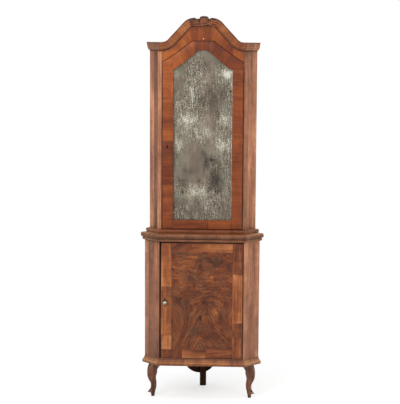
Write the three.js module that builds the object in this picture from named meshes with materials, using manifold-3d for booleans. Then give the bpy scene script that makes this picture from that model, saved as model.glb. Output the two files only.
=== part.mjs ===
// Corner cupboard in two stages: a mirrored upper cupboard under an arched cornice, on a lower
// cupboard with one veneered door, two cabriole front legs and a plain square rear leg.
// Millimetres, +Z up, the front faces -Y. Plan sizes are measured from the lower front plane.
import * as THREE from 'three';
import { mergeVertices } from 'three/addons/utils/BufferGeometryUtils.js';
import Module from 'manifold-3d';

const wasm = await Module();
wasm.setup();

// Driving sizes: plan
const lowerFrontWidth = 445.4;
const lowerCantWidth = 110.9;
const upperFrontWidth = 431;
const upperSetback = 40;
const caseDepth = 304;

// Driving sizes: heights
const legHeight = 180;
const plinthHeight = 36;
const lowerCaseHeight = 620;
const waistHeight = 42;
const baseHeight = 19;
const upperCaseHeight = 968;
const corniceHeight = 46;
const pedimentRise = 125;
const crestRise = 10;

// Driving sizes: boards and clearances
const sideThickness = 20;
const backThickness = 12;
const deckThickness = 18;
const shelfThickness = 16;
const shelfHousing = 4;
const doorThickness = 22;
const fit = 0.3;
const overrun = 1;
const doorGap = 2.6;
const sillGap = 2;
const stopGap = 0.5;

// Driving sizes: mouldings, as projections from the boards that they edge
const plinthProjection = 18.4;
const plinthFascia = 12;
const plinthRoundHeight = 5;
const plinthRoundDepth = 3.2;
const waistNosing = 28.8;
const waistBead = 18;
const waistNeck = 13;
const waistBeadHeight = 15.6;
const waistBeadFace = 5;
const waistNeckHeight = 3.6;
const baseProjection = 27.5;
const baseFillet = 22;
const baseFilletHeight = 3;
const baseRound = 11;
const corniceProjection = 23;
const corniceFillet = 4;
const corniceCyma = 23;
const corniceStep = 18;
const corniceOvolo = 15.5;
const corniceOvoloHeight = 12;
const corniceFoot = 3;

// Driving sizes: arched edges
const pedimentSlope = THREE.MathUtils.degToRad(47.3);
const pedimentCrownRadius = 70;
const pedimentHollowRadius = 52;
const friezeInset = 10;
const friezeStopDepth = 10;
const doorArchRise = 108;
const doorShoulderDrop = 102;
const doorArchSlope = THREE.MathUtils.degToRad(38);
const doorArchShoulderSlope = THREE.MathUtils.degToRad(30);
const doorArchCrownRadius = 22;
const doorArchHollowRadius = 900;
const archGap = 3;
const glassArchRise = 101;
const glassShoulderDrop = 37;
const glassArchSlope = THREE.MathUtils.degToRad(39.2);
const glassArchShoulderSlope = THREE.MathUtils.degToRad(27.6);
const glassArchCrownRadius = 33;
const glassArchHollowRadius = 278;
const arcSteps = 8;

// Driving sizes: carved crest
const voluteRadius = 17;
const voluteProjection = 27;
const voluteRise = 1.5;
const crestValley = 1;
const cabochonWidth = 50;
const cabochonHeight = 46;
const cabochonDepth = 28;
const cabochonStand = 16;
const carvedSides = 24;

// Driving sizes: doors, glass and posts
const upperLip = 4.5;
const lowerLip = 4.5;
const lowerLatchGap = 7;
const lowerHeadGap = 5;
const stileWidth = 56.4;
const bottomRailHeight = 47;
const rebateWidth = 8;
const rebateDepth = 14;
const glassThickness = 4;
const mirrorBackThickness = 5;
const postLap = 12;
const postDepth = 27;

// Driving sizes: legs, shelves and the rear tongue
const legBlockSize = 34;
const legBlockShare = 0.9;
const legSides = 16;
const rearLegWidth = 34;
const rearLegDepth = 28;
const rearLegChamfer = 8;
const tongueRadius = 90;
const tongueOffset = 19;
const tongueDrop = 115;
const lowerShelfShare = 0.48;
const upperShelfShares = [0.33, 0.66];

// Leg sections in shares of the leg height: level, centre, reach outwards, reach inwards, half width
const legSectionShares = [
  [0, -0.044, 0.037, 0.052, 0.043],
  [0.078, -0.044, 0.054, 0.068, 0.055],
  [0.102, -0.044, 0.07, 0.076, 0.06],
  [0.126, -0.044, 0.11, 0.082, 0.064],
  [0.157, -0.044, 0.2, 0.09, 0.064],
  [0.175, -0.044, 0.185, 0.094, 0.068],
  [0.211, -0.055, 0.128, 0.094, 0.072],
  [0.259, -0.072, 0.087, 0.094, 0.073],
  [0.325, -0.08, 0.087, 0.092, 0.076],
  [0.392, -0.083, 0.102, 0.094, 0.081],
  [0.482, -0.055, 0.136, 0.106, 0.087],
  [0.578, -0.017, 0.151, 0.138, 0.099],
  [0.639, -0.011, 0.161, 0.17, 0.105],
  [0.711, -0.006, 0.162, 0.2, 0.112],
  [0.789, 0, 0.156, 0.216, 0.112],
  [0.886, 0, 0.127, 0.33, 0.112],
  [0.958, 0, 0.079, 0.45, 0.107],
  [1, 0, 0.057, 0.51, 0.107],
];

// Driving sizes: hinges
const hingeHeight = 50;
const hingeInset = 70;
const leafWidth = 16;
const leafThickness = 1.2;
const leafSunk = 0.7;
const knuckleRadius = 2;
const pinRadius = 0.9;
const pinPlay = 0.3;
const knuckleShare = 1 / 3;
const knuckleSides = 12;

// Driving sizes: locks, key and escutcheon
const lockHeight = 60;
const lockDepth = 12;
const lockWall = 2;
const lockEdgeGap = 2;
const lowerLockWidth = 48;
const upperLockWidth = 33;
const boltHeight = 12;
const boltThickness = 5;
const boltDrop = 17;
const boltTail = 1;
const boltTravel = 9;
const mortiseDepth = 10.5;
const mortisePlay = 1;
const talonWidth = 7;
const talonDepth = 2.5;
const lowerKeyInset = 21.7;
const upperKeyInset = 26.2;
const lowerKeyHeight = 339;
const upperKeyHeight = 434;
const keyHoleRadius = 4.2;
const keySlotWidth = 3.6;
const keySlotDrop = 16;
const keyRadius = 3;
const keyStand = 9;
const keyBitLength = 9;
const keyBitWidth = 5;
const keyBitThickness = 2.4;
const keyCollarRadius = 4.6;
const keyCollarLength = 3;
const bowWidth = 27;
const bowLength = 22;
const bowWire = 4;
const bowSegments = 20;
const escutcheonWidth = 30;
const escutcheonHeight = 54;
const escutcheonThickness = 1.4;
const escutcheonWaist = 5;

// Derived plan
const diagonal = Math.SQRT1_2;
const lowerHalf = lowerFrontWidth / 2;
const upperHalf = upperFrontWidth / 2;
const lowerCantRun = lowerCantWidth * diagonal;
const wallReach = lowerHalf + 2 * lowerCantRun;
const upperCantRun = (wallReach - upperHalf - upperSetback) / 2;
const rearInner = caseDepth - backThickness;
const rearHalf = wallReach - caseDepth;

// Derived levels
const plinthTop = legHeight + plinthHeight;
const waistBottom = plinthTop + lowerCaseHeight;
const waistTop = waistBottom + waistHeight;
const baseTop = waistTop + baseHeight;
const corniceTop = baseTop + upperCaseHeight;
const crownTop = corniceTop + pedimentRise;
const crestTop = crownTop + crestRise;

// Each stage of the cupboard: its plan and what its door closes against
const lower = {
  half: lowerHalf,
  front: 0,
  run: lowerCantRun,
  jamb: lowerHalf - lowerLip,
  latchGap: lowerLatchGap,
  sill: plinthTop + sillGap,
};
const upper = {
  half: upperHalf,
  front: upperSetback,
  run: upperCantRun,
  jamb: upperHalf - upperLip,
  latchGap: doorGap,
  sill: baseTop + sillGap,
};
for (const stage of [lower, upper]) {
  stage.doorRight = stage.jamb - doorGap;
  stage.doorLeft = -(stage.jamb - stage.latchGap);
  stage.doorBack = stage.front + doorThickness;
  stage.stop = stage.doorBack + stopGap;
  stage.post = stage.jamb - postLap;
  stage.postBack = stage.stop + postDepth;
  stage.cantLine = stage.half - stage.front - sideThickness * Math.SQRT2;
}

// Arched edges, from crown to shoulder
const pediment = {
  halfWidth: upperHalf,
  crown: crownTop,
  shoulder: corniceTop,
  slope: pedimentSlope,
  shoulderSlope: 0,
  crownRadius: pedimentCrownRadius,
  hollowRadius: pedimentHollowRadius,
};
const doorShoulder = corniceTop - doorShoulderDrop;
const doorArch = {
  halfWidth: upper.doorRight,
  crown: doorShoulder + doorArchRise,
  shoulder: doorShoulder,
  slope: doorArchSlope,
  shoulderSlope: doorArchShoulderSlope,
  crownRadius: doorArchCrownRadius,
  hollowRadius: doorArchHollowRadius,
};
const glassHalf = upper.doorRight - stileWidth;
const glassSill = upper.sill + bottomRailHeight;
const glassShoulder = doorShoulder - glassShoulderDrop;
const glassArch = {
  halfWidth: glassHalf,
  crown: glassShoulder + glassArchRise,
  shoulder: glassShoulder,
  slope: glassArchSlope,
  shoulderSlope: glassArchShoulderSlope,
  crownRadius: glassArchCrownRadius,
  hollowRadius: glassArchHollowRadius,
};

// Materials
function paint(color, roughness, metalness = 0) {
  return new THREE.MeshStandardMaterial({ color, roughness, metalness, flatShading: true });
}
const walnut = paint(0x8a5636, 0.45);
const burl = paint(0x82502f, 0.42);
const cantWalnut = paint(0x94694f, 0.5);
const moulding = paint(0x7d5541, 0.5);
const legWood = paint(0x5c4236, 0.5);
const darkWood = paint(0x2b1d14, 0.8);
const pine = paint(0x9a7a55, 0.8);
const mirror = paint(0x8f8270, 0.25, 0.4);
const iron = paint(0x3a332d, 0.5, 0.8);
const brass = paint(0x7a6238, 0.4, 0.9);
const brightIron = paint(0xa79c8a, 0.35, 0.9);

// Basic solids

// A prism over a plan outline, from one level up to another
function planPrism(points, bottom, top) {
  const shape = new THREE.Shape(points.map(([x, y]) => new THREE.Vector2(x, y)));
  const geometry = new THREE.ExtrudeGeometry(shape, { depth: top - bottom, bevelEnabled: false });
  return geometry.translate(0, 0, bottom);
}

// A board cut to a front outline in x and z, from its front face backwards
function frontPrism(points, front, back) {
  const shape = new THREE.Shape(points.map(([x, z]) => new THREE.Vector2(x, z)));
  const geometry = new THREE.ExtrudeGeometry(shape, { depth: back - front, bevelEnabled: false });
  return geometry.rotateX(Math.PI / 2).translate(0, back, 0);
}

// A box between two corners
function block(x0, x1, y0, y1, z0, z1) {
  const geometry = new THREE.BoxGeometry(x1 - x0, y1 - y0, z1 - z0);
  return geometry.translate((x0 + x1) / 2, (y0 + y1) / 2, (z0 + z1) / 2);
}

// A round bar along y, between two depths
function yBar(x, z, radius, y0, y1, sides) {
  const geometry = new THREE.CylinderGeometry(radius, radius, y1 - y0, sides);
  return geometry.translate(x, (y0 + y1) / 2, z);
}

// A round bar along z, between two levels
function zBar(x, y, radius, z0, z1) {
  const geometry = new THREE.CylinderGeometry(radius, radius, z1 - z0, knuckleSides);
  return geometry.rotateX(Math.PI / 2).translate(x, y, (z0 + z1) / 2);
}

// A closed skin over rings of matching points, capped at both ends by the given section
function loft(rings, section) {
  const turned = THREE.ShapeUtils.area(section) < 0;
  const outline = turned ? [...section].reverse() : section;
  const loops = turned ? rings.map((ring) => [...ring].reverse()) : rings;
  const count = outline.length;
  const index = [];
  for (let r = 0; r + 1 < loops.length; r += 1) {
    for (let i = 0; i < count; i += 1) {
      const a = r * count + i;
      const b = r * count + ((i + 1) % count);
      index.push(a, b, b + count, a, b + count, a + count);
    }
  }
  const last = (loops.length - 1) * count;
  for (const [a, b, c] of THREE.ShapeUtils.triangulateShape(outline, [])) {
    index.push(c, b, a, last + a, last + b, last + c);
  }
  const corners = loops.flat();
  let volume = 0;
  for (let i = 0; i < index.length; i += 3) {
    const [a, b, c] = index.slice(i, i + 3).map((k) => corners[k]);
    volume += a.dot(new THREE.Vector3().crossVectors(b, c));
  }
  if (volume < 0) {
    index.reverse();
  }
  const geometry = new THREE.BufferGeometry();
  geometry.setAttribute('position', new THREE.Float32BufferAttribute(corners.flatMap((p) => p.toArray()), 3));
  geometry.setIndex(index);
  return geometry;
}

// Joining and cutting

function toSolid(geometry) {
  const bare = geometry.clone();
  bare.deleteAttribute('normal');
  bare.deleteAttribute('uv');
  const merged = mergeVertices(bare);
  return new wasm.Manifold(new wasm.Mesh({
    numProp: 3,
    vertProperties: merged.attributes.position.array,
    triVerts: new Uint32Array(merged.index.array),
  }));
}

function toGeometry(solid) {
  const mesh = solid.getMesh();
  const geometry = new THREE.BufferGeometry();
  geometry.setAttribute('position', new THREE.Float32BufferAttribute(mesh.vertProperties, 3));
  geometry.setIndex(new THREE.Uint32BufferAttribute(mesh.triVerts, 1));
  return geometry;
}

function combine(operation, first, others) {
  let solid = toSolid(first);
  for (const other of others) {
    solid = solid[operation](toSolid(other));
  }
  return toGeometry(solid);
}

const join = (first, ...others) => combine('add', first, others);
const cut = (first, ...others) => combine('subtract', first, others);
const keep = (first, ...others) => combine('intersect', first, others);

// Plan outlines

// The right half of a plan outline, closed by its mirror image
function mirrored(points) {
  return [...points, ...points.map(([x, y]) => [-x, y]).reverse()];
}

function flipped(points, side) {
  return side > 0 ? points : points.map(([x, y]) => [-x, y]).reverse();
}

// A deck or shelf inside one stage, with its straight front edge at the given depth and its wall
// edges let into the wall boards by the housing
function deckOutline(stage, front, housing = -fit) {
  const cantLine = stage.cantLine - fit * Math.SQRT2;
  const wallLine = wallReach - (backThickness - housing) * Math.SQRT2;
  const rear = rearInner - fit;
  return mirrored([
    [front + cantLine, front],
    [(wallLine + cantLine) / 2, (wallLine - cantLine) / 2],
    [wallLine - rear, rear],
  ]);
}

// A canted side board with its narrow front lip beside the door
function sideOutline(stage, side) {
  const endX = stage.half + stage.run;
  const endY = stage.front + stage.run;
  const inset = sideThickness * diagonal;
  return flipped([
    [stage.half, stage.front],
    [endX, endY],
    [endX - inset, endY + inset],
    [stage.jamb, stage.jamb - stage.cantLine],
    [stage.jamb, stage.front],
  ], side);
}

// The corner post behind the lip, which the door closes against
function postOutline(stage, side) {
  const cantLine = stage.cantLine - fit * Math.SQRT2;
  return flipped([
    [stage.post, stage.stop],
    [cantLine + stage.stop, stage.stop],
    [cantLine + stage.postBack, stage.postBack],
    [stage.post, stage.postBack],
  ], side);
}

// A back board that lies along one wall of the room
function wallBoardOutline(stage, side) {
  const startX = stage.half + stage.run - (sideThickness + fit) * diagonal;
  const startY = stage.front + stage.run + (sideThickness + fit) * diagonal;
  const inset = backThickness * diagonal;
  const rear = rearInner - fit;
  return flipped([
    [startX, startY],
    [wallReach - rear, rear],
    [wallReach - backThickness * Math.SQRT2 - rear, rear],
    [startX - inset, startY - inset],
  ], side);
}

// The flat board that cuts off the rear corner
const rearOutline = mirrored([
  [rearHalf + backThickness, rearInner],
  [rearHalf, caseDepth],
]);

// Arched edges

// Sizes that follow from an arch: the flat at its crown and the centres of its two curves
function archFrame(arch) {
  const { slope, shoulderSlope, crownRadius, hollowRadius } = arch;
  const rise = arch.crown - arch.shoulder;
  const crownDrop = crownRadius * (1 - Math.cos(slope));
  const hollowDrop = hollowRadius * (Math.cos(shoulderSlope) - Math.cos(slope));
  const straight = (rise - crownDrop - hollowDrop) / Math.sin(slope);
  const hollowRun = hollowRadius * (Math.sin(slope) - Math.sin(shoulderSlope));
  const flat = arch.halfWidth - crownRadius * Math.sin(slope) - straight * Math.cos(slope) - hollowRun;
  const hollowX = arch.halfWidth + hollowRadius * Math.sin(shoulderSlope);
  const hollowZ = arch.shoulder + hollowRadius * Math.cos(shoulderSlope);
  return { flat, hollowX, hollowZ };
}

// The right half of an arched edge from crown to shoulder, moved outwards by offset and carried on
// along its last slope to the given half-width
function archEdge(arch, offset, reach) {
  const { flat, hollowX, hollowZ } = archFrame(arch);
  const points = [];
  for (let i = 0; i <= arcSteps; i += 1) {
    const angle = (arch.slope * i) / arcSteps;
    const radius = arch.crownRadius + offset;
    const centre = arch.crown - arch.crownRadius;
    points.push([flat + radius * Math.sin(angle), centre + radius * Math.cos(angle)]);
  }
  for (let i = 0; i <= arcSteps; i += 1) {
    const angle = arch.slope + ((arch.shoulderSlope - arch.slope) * i) / arcSteps;
    const radius = arch.hollowRadius - offset;
    points.push([hollowX - radius * Math.sin(angle), hollowZ - radius * Math.cos(angle)]);
  }
  const inside = points.filter(([x]) => x < reach);
  const [endX, endZ] = inside[inside.length - 1];
  inside.push([reach, endZ - (reach - endX) * Math.tan(arch.shoulderSlope)]);
  return inside;
}

// An arched edge right across, from the right shoulder over the crown to the left one
function wholeArch(arch, offset, reach) {
  const right = archEdge(arch, offset, reach).reverse();
  const left = right.map(([x, z]) => [-x, z]).reverse();
  return [...right, ...left];
}

// Mouldings

// A section drawn by a path, as points with x outwards from the board and y up
function section(draw, steps = arcSteps) {
  const shape = new THREE.Shape();
  draw(shape);
  const points = shape.getPoints(steps);
  const first = points[0];
  const last = points[points.length - 1];
  return first.distanceTo(last) < fit ? points.slice(0, -1) : points;
}

const plinthSection = section((s) => {
  const roundTop = plinthFascia + plinthRoundHeight;
  const lean = plinthProjection - plinthRoundDepth;
  s.moveTo(-sideThickness, 0);
  s.lineTo(plinthProjection, 0);
  s.lineTo(plinthProjection, plinthFascia);
  s.quadraticCurveTo(plinthProjection, roundTop, lean, roundTop);
  s.quadraticCurveTo(lean / 2, roundTop, 0, plinthHeight);
  s.lineTo(-sideThickness, plinthHeight);
}, arcSteps / 2);

const waistSection = section((s) => {
  const neckTop = waistBeadHeight + waistNeckHeight;
  const middle = (neckTop + waistHeight) / 2;
  const shoulder = (waistNeck + waistNosing) / 2;
  s.moveTo(-sideThickness, 0);
  s.lineTo(0, 0);
  s.quadraticCurveTo(waistBead, 0, waistBead, waistBeadHeight - waistBeadFace);
  s.lineTo(waistBead, waistBeadHeight);
  s.lineTo(waistNeck, waistBeadHeight);
  s.lineTo(waistNeck, neckTop);
  s.lineTo(shoulder, neckTop);
  s.quadraticCurveTo(waistNosing, neckTop, waistNosing, middle);
  s.quadraticCurveTo(waistNosing, waistHeight, shoulder, waistHeight);
  s.lineTo(-sideThickness, waistHeight);
}, arcSteps / 2);

const baseSection = section((s) => {
  const middle = (baseFilletHeight + baseHeight) / 2;
  s.moveTo(-sideThickness, 0);
  s.lineTo(baseFillet, 0);
  s.lineTo(baseFillet, baseFilletHeight);
  s.quadraticCurveTo(baseProjection, baseFilletHeight, baseProjection, middle);
  s.quadraticCurveTo(baseProjection, baseHeight, baseProjection - baseRound, baseHeight);
  s.lineTo(-sideThickness, baseHeight);
}, arcSteps / 2);

// The cornice is drawn with y measured down from its top edge
function corniceSection(back) {
  const cymaEnd = corniceFillet + corniceCyma;
  const ovoloEnd = cymaEnd + corniceOvoloHeight;
  const cymaTop = corniceProjection - corniceFillet / 2;
  const cymaMiddle = corniceFillet + corniceCyma / 2;
  const waist = (cymaTop + corniceStep) / 2;
  return section((s) => {
    s.moveTo(back, 0);
    s.lineTo(corniceProjection, 0);
    s.lineTo(corniceProjection, corniceFillet);
    s.lineTo(cymaTop, corniceFillet);
    s.quadraticCurveTo(cymaTop, cymaMiddle, waist, cymaMiddle);
    s.quadraticCurveTo(corniceStep, cymaMiddle, corniceStep, cymaEnd);
    s.lineTo(corniceOvolo, cymaEnd);
    s.quadraticCurveTo(corniceOvolo, (cymaEnd + ovoloEnd) / 2, (corniceOvolo + corniceFoot) / 2, ovoloEnd);
    s.lineTo(corniceFoot, ovoloEnd);
    s.lineTo(corniceFoot, corniceHeight);
    s.lineTo(back, corniceHeight);
  }, arcSteps / 2);
}

// Half of the hairline at a mitre, measured along the moulding
const mitreShift = fit / 2 / Math.cos(Math.PI / 8);

// The straight runs of a moulding round one stage: left return, front, right return
function mitredRun(stage, which, points, bottom, upSign = 1) {
  const corners = [
    new THREE.Vector2(-stage.half - stage.run, stage.front + stage.run),
    new THREE.Vector2(-stage.half, stage.front),
    new THREE.Vector2(stage.half, stage.front),
    new THREE.Vector2(stage.half + stage.run, stage.front + stage.run),
  ];
  const mitre = Math.tan(Math.PI / 8);
  const outward = [
    new THREE.Vector2(-diagonal, -diagonal),
    new THREE.Vector2(-mitre, -1),
    new THREE.Vector2(mitre, -1),
    new THREE.Vector2(diagonal, -diagonal),
  ];
  const along = corners[which + 1].clone().sub(corners[which]).normalize();
  const rings = [which, which + 1].map((corner, end) => {
    const shift = corner === 0 || corner === 3 ? 0 : mitreShift;
    const base = corners[corner].clone().addScaledVector(along, end ? -shift : shift);
    return points.map(({ x, y }) => new THREE.Vector3(
      base.x + outward[corner].x * x,
      base.y + outward[corner].y * x,
      bottom + upSign * y,
    ));
  });
  return loft(rings, points);
}

// One half of the arched cornice, from the mitre at its crown out to the mitre at the arris
function archedHalf(side) {
  const points = corniceSection(0);
  const { flat, hollowX, hollowZ } = archFrame(pediment);
  const corner = flat + pediment.crownRadius * Math.tan(pediment.slope / 2);
  const crownMitre = Math.tan(pediment.slope / 2);
  const arrisMitre = Math.tan(Math.PI / 8);
  const rings = [points.map(({ x, y }) => new THREE.Vector3(
    side * (corner + mitreShift - crownMitre * y),
    upper.front - x,
    pediment.crown - y,
  ))];
  for (let i = 0; i <= arcSteps; i += 1) {
    const angle = pediment.slope * (1 - i / arcSteps);
    const extra = (x) => (i === arcSteps ? arrisMitre * x - mitreShift : 0);
    rings.push(points.map(({ x, y }) => new THREE.Vector3(
      side * (hollowX - (pediment.hollowRadius + y) * Math.sin(angle) + extra(x)),
      upper.front - x,
      hollowZ - (pediment.hollowRadius + y) * Math.cos(angle),
    )));
  }
  return keep(loft(rings, points), pedimentSilhouette);
}

// Everything under the rounded pediment edge, wide and deep enough to trim the cornice
const pedimentReach = upperHalf + corniceProjection;
const pedimentSilhouette = frontPrism(
  [...wholeArch(pediment, 0, pedimentReach), [-pedimentReach, waistTop], [pedimentReach, waistTop]],
  upper.front - 2 * corniceProjection,
  upper.front + corniceProjection,
);

// Carved crest: the middle of the cornice with two volutes and a cabochon
function crest() {
  const points = corniceSection(0);
  const { flat } = archFrame(pediment);
  const crownMitre = Math.tan(pediment.slope / 2);
  const corner = flat + pediment.crownRadius * crownMitre;
  const rings = [-1, 1].map((side) => points.map(({ x, y }) => new THREE.Vector3(
    side * (corner - mitreShift - crownMitre * y),
    upper.front - x,
    pediment.crown - y,
  )));
  const top = crownTop - crestValley;
  const foot = crownTop - corniceHeight;
  const between = frontPrism([
    [-corner + mitreShift, crestTop],
    [-corner + mitreShift, crownTop],
    [-corner + mitreShift + crownMitre * corniceHeight, foot],
    [corner - mitreShift - crownMitre * corniceHeight, foot],
    [corner - mitreShift, crownTop],
    [corner - mitreShift, crestTop],
  ], upper.front - 2 * corniceProjection, upper.front);
  const lowRun = keep(keep(loft(rings, points), pedimentSilhouette), block(
    -corner, corner, upper.front - 2 * corniceProjection, upper.front, foot, top,
  ));
  const voluteX = flat;
  const voluteZ = crownTop + voluteRise - voluteRadius;
  const voluteFront = upper.front - voluteProjection;
  const volutes = [-1, 1].map((side) => yBar(
    side * voluteX, voluteZ, voluteRadius, voluteFront, upper.front, carvedSides,
  ));
  const cabochon = new THREE.SphereGeometry(1, carvedSides, carvedSides / 2);
  cabochon.scale(cabochonWidth / 2, cabochonDepth / 2, cabochonHeight / 2);
  cabochon.translate(0, upper.front - cabochonStand, crestTop - cabochonHeight / 2);
  return keep(join(lowRun, ...volutes, cabochon), between);
}

// Legs

// A cabriole leg that faces along +x, with the block that stands behind the plinth
function cabrioleLeg() {
  const rings = legSectionShares.map(([level, centre, out, back, half]) => {
    const ring = [];
    for (let i = 0; i < legSides; i += 1) {
      const angle = (2 * Math.PI * i) / legSides;
      const reach = Math.cos(angle) > 0 ? out : back;
      ring.push(new THREE.Vector3(
        legHeight * (centre + reach * Math.cos(angle)),
        legHeight * half * Math.sin(angle),
        legHeight * level,
      ));
    }
    return ring;
  });
  const outline = rings[0].map((p) => new THREE.Vector2(p.x, p.y));
  const inner = -sideThickness - fit;
  const top = plinthTop - deckThickness;
  const shank = block(
    inner - legBlockSize, inner, -legBlockSize / 2, legBlockSize / 2, legHeight * legBlockShare, top,
  );
  return join(loft(rings, outline), shank);
}

// The plain rear leg with chamfered front arrises
function rearLeg() {
  const half = rearLegWidth / 2;
  const front = rearInner - rearLegDepth;
  return planPrism(mirrored([
    [half - rearLegChamfer, front],
    [half, front + rearLegChamfer],
    [half, rearInner],
  ]), 0, plinthTop - deckThickness);
}

// The lower rear board ends in a half-round tongue below the plinth
function lowerRearBoard(top) {
  const centreZ = legHeight - tongueDrop + tongueRadius;
  const outline = [];
  const wide = rearHalf + backThickness;
  outline.push([wide, top], [-wide, top]);
  const startAngle = Math.PI + Math.asin((tongueRadius - tongueOffset) / (2 * tongueRadius));
  for (let i = 0; i <= 2 * arcSteps; i += 1) {
    const angle = startAngle + ((2 * Math.PI - startAngle) * i) / (2 * arcSteps);
    outline.push([-tongueOffset + tongueRadius * Math.cos(angle), centreZ + tongueRadius * Math.sin(angle)]);
  }
  outline.push([tongueRadius - tongueOffset, legHeight + deckThickness]);
  outline.push([wide, legHeight + deckThickness]);
  const plank = planPrism(rearOutline, legHeight - tongueDrop, top);
  return keep(plank, frontPrism(outline, rearInner - fit, caseDepth + fit));
}

// Hinges

// Centres of the two hinges of a door, between its lower and upper corner
function hingeLevels(bottom, top) {
  return [bottom + hingeInset, top - hingeInset];
}

function hingeAxis(stage) {
  return { x: stage.doorRight + doorGap / 2, y: stage.front - knuckleRadius };
}

// The leaf let into the door edge, with the middle knuckle
function doorLeaf(stage, level) {
  const { x, y } = hingeAxis(stage);
  const half = (hingeHeight * knuckleShare) / 2 - fit / 2;
  const inner = stage.doorRight - leafSunk;
  const outer = inner + leafThickness;
  const plate = block(
    inner, outer, stage.front, stage.front + leafWidth, level - hingeHeight / 2, level + hingeHeight / 2,
  );
  const tab = block(inner, outer, y, stage.front + leafThickness, level - half, level + half);
  const eye = zBar(x, y, knuckleRadius, level - half, level + half);
  const bore = zBar(x, y, pinRadius + pinPlay, level - hingeHeight, level + hingeHeight);
  return cut(join(plate, tab, eye), bore);
}

// The leaf let into the jamb, with the two outer knuckles and the riveted pin
function jambLeaf(stage, level) {
  const { x, y } = hingeAxis(stage);
  const inner = stage.jamb - leafThickness + leafSunk;
  const outer = stage.jamb + leafSunk;
  const end = hingeHeight / 2;
  const start = (hingeHeight * knuckleShare) / 2 + fit / 2;
  const plate = block(inner, outer, stage.front, stage.front + leafWidth, level - end, level + end);
  const parts = [];
  for (const side of [-1, 1]) {
    const low = level + Math.min(side * start, side * end);
    const high = level + Math.max(side * start, side * end);
    parts.push(block(inner, outer, y, stage.front + leafThickness, low, high));
    parts.push(zBar(x, y, knuckleRadius, low, high));
  }
  const pin = zBar(x, y, pinRadius, level - end, level + end);
  return join(plate, ...parts, pin);
}

// The shallow bed that a pair of leaves needs in a door edge or a jamb
function leafBed(stage, level, edge, direction) {
  const depth = (leafSunk + fit) * direction;
  const outside = edge - overrun * direction;
  return block(
    Math.min(outside, edge + depth),
    Math.max(outside, edge + depth),
    stage.front - fit,
    stage.front + leafWidth + fit,
    level - hingeHeight / 2 - fit,
    level + hingeHeight / 2 + fit,
  );
}

// Locks

// An open-fronted lock case on the back of a door, its edge near the post, with a hole in its back
// plate that the end of the key turns in
function lockCase(stage, width, keyX, level) {
  const left = -stage.post + lockEdgeGap;
  const right = left + width;
  const back = stage.doorBack + lockDepth;
  const half = lockHeight / 2;
  const cavity = block(
    left + lockWall, right - lockWall, stage.doorBack - lockWall, back - lockWall,
    level - half + lockWall, level + half - lockWall,
  );
  const bolt = boltBox(stage, width, level, fit);
  const slot = block(left - lockWall, left + 2 * lockWall, bolt.y0, bolt.y1, bolt.z0, bolt.z1);
  const pivot = yBar(keyX, level, keyRadius + fit, stage.doorBack, back + overrun, knuckleSides);
  return cut(block(left, right, stage.doorBack, back, level - half, level + half), cavity, slot, pivot);
}

// The space of a lock bolt at rest, drawn back so that its tip is level with the case
function boltBox(stage, width, level, grow) {
  const left = -stage.post + lockEdgeGap;
  const middle = stage.doorBack + lockDepth / 2 - lockWall / 2;
  return {
    x0: left - grow,
    x1: left + width - lockWall - boltTail + grow,
    y0: middle - boltThickness / 2 - grow,
    y1: middle + boltThickness / 2 + grow,
    z0: level - boltDrop - boltHeight / 2 - grow,
    z1: level - boltDrop + boltHeight / 2 + grow,
  };
}

// The bolt, with the talon in its upper edge that the key's bit drives
function lockBolt(stage, width, keyX, level) {
  const { x0, x1, y0, y1, z0, z1 } = boltBox(stage, width, level, 0);
  const middle = keyX + boltTravel + keyBitThickness / 2;
  const talon = block(
    middle - talonWidth / 2, middle + talonWidth / 2, y0 - fit, y1 + fit, z1 - talonDepth, z1 + fit,
  );
  return cut(block(x0, x1, y0, y1, z0, z1), talon);
}

// The mortise in the corner post that receives the thrown bolt
function boltMortise(stage, width, level) {
  const { y0, y1, z0, z1 } = boltBox(stage, width, level, mortisePlay);
  return block(-stage.post - mortiseDepth, -stage.post + overrun, y0, y1, z0, z1);
}

// A keyhole: a round hole with a slot below it
function keyHole(x, level, front, back) {
  const round = yBar(x, level, keyHoleRadius, front, back, carvedSides / 2);
  const half = keySlotWidth / 2;
  return join(round, block(x - half, x + half, front, back, level - keySlotDrop, level));
}

// Groups of the cupboard

const cupboard = new THREE.Group();
const lowerCase = new THREE.Group();
const upperCase = new THREE.Group();
const lowerDoor = new THREE.Group();
const upperDoor = new THREE.Group();
cupboard.add(lowerCase, upperCase, lowerDoor, upperDoor);
const bodyCentre = (caseDepth - waistNosing) / 2;
cupboard.position.y = -bodyCentre;

function place(group, name, geometry, material) {
  const mesh = new THREE.Mesh(geometry, material);
  mesh.name = name;
  group.add(mesh);
  return mesh;
}

const sides = [['left', -1], ['right', 1]];
const runs = ['left', 'front', 'right'];

// Locks and hinge levels
const lowerKeyLevel = legHeight + lowerKeyHeight;
const upperKeyLevel = baseTop + upperKeyHeight;
const lowerKeyX = lower.doorLeft + lowerKeyInset;
const upperKeyX = upper.doorLeft + upperKeyInset;
const lowerDoorTop = waistBottom - lowerHeadGap;
const lowerHinges = hingeLevels(lower.sill, lowerDoorTop);
const upperHinges = hingeLevels(upper.sill, doorShoulder);

// Shelf levels
const lowerTopUnder = waistTop - deckThickness;
const upperTopUnder = corniceTop - deckThickness;
const lowerShelfLevel = plinthTop + lowerShelfShare * (lowerTopUnder - plinthTop);
const upperShelfLevels = upperShelfShares.map((share) => baseTop + share * (upperTopUnder - baseTop));

function shelf(stage, level) {
  const outline = deckOutline(stage, stage.postBack + fit, shelfHousing);
  return planPrism(outline, level, level + shelfThickness);
}

// The housing that a shelf needs in the wall boards
function housing(stage, level) {
  const outline = deckOutline(stage, stage.postBack, shelfHousing + fit);
  return planPrism(outline, level, level + shelfThickness + fit);
}

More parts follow.
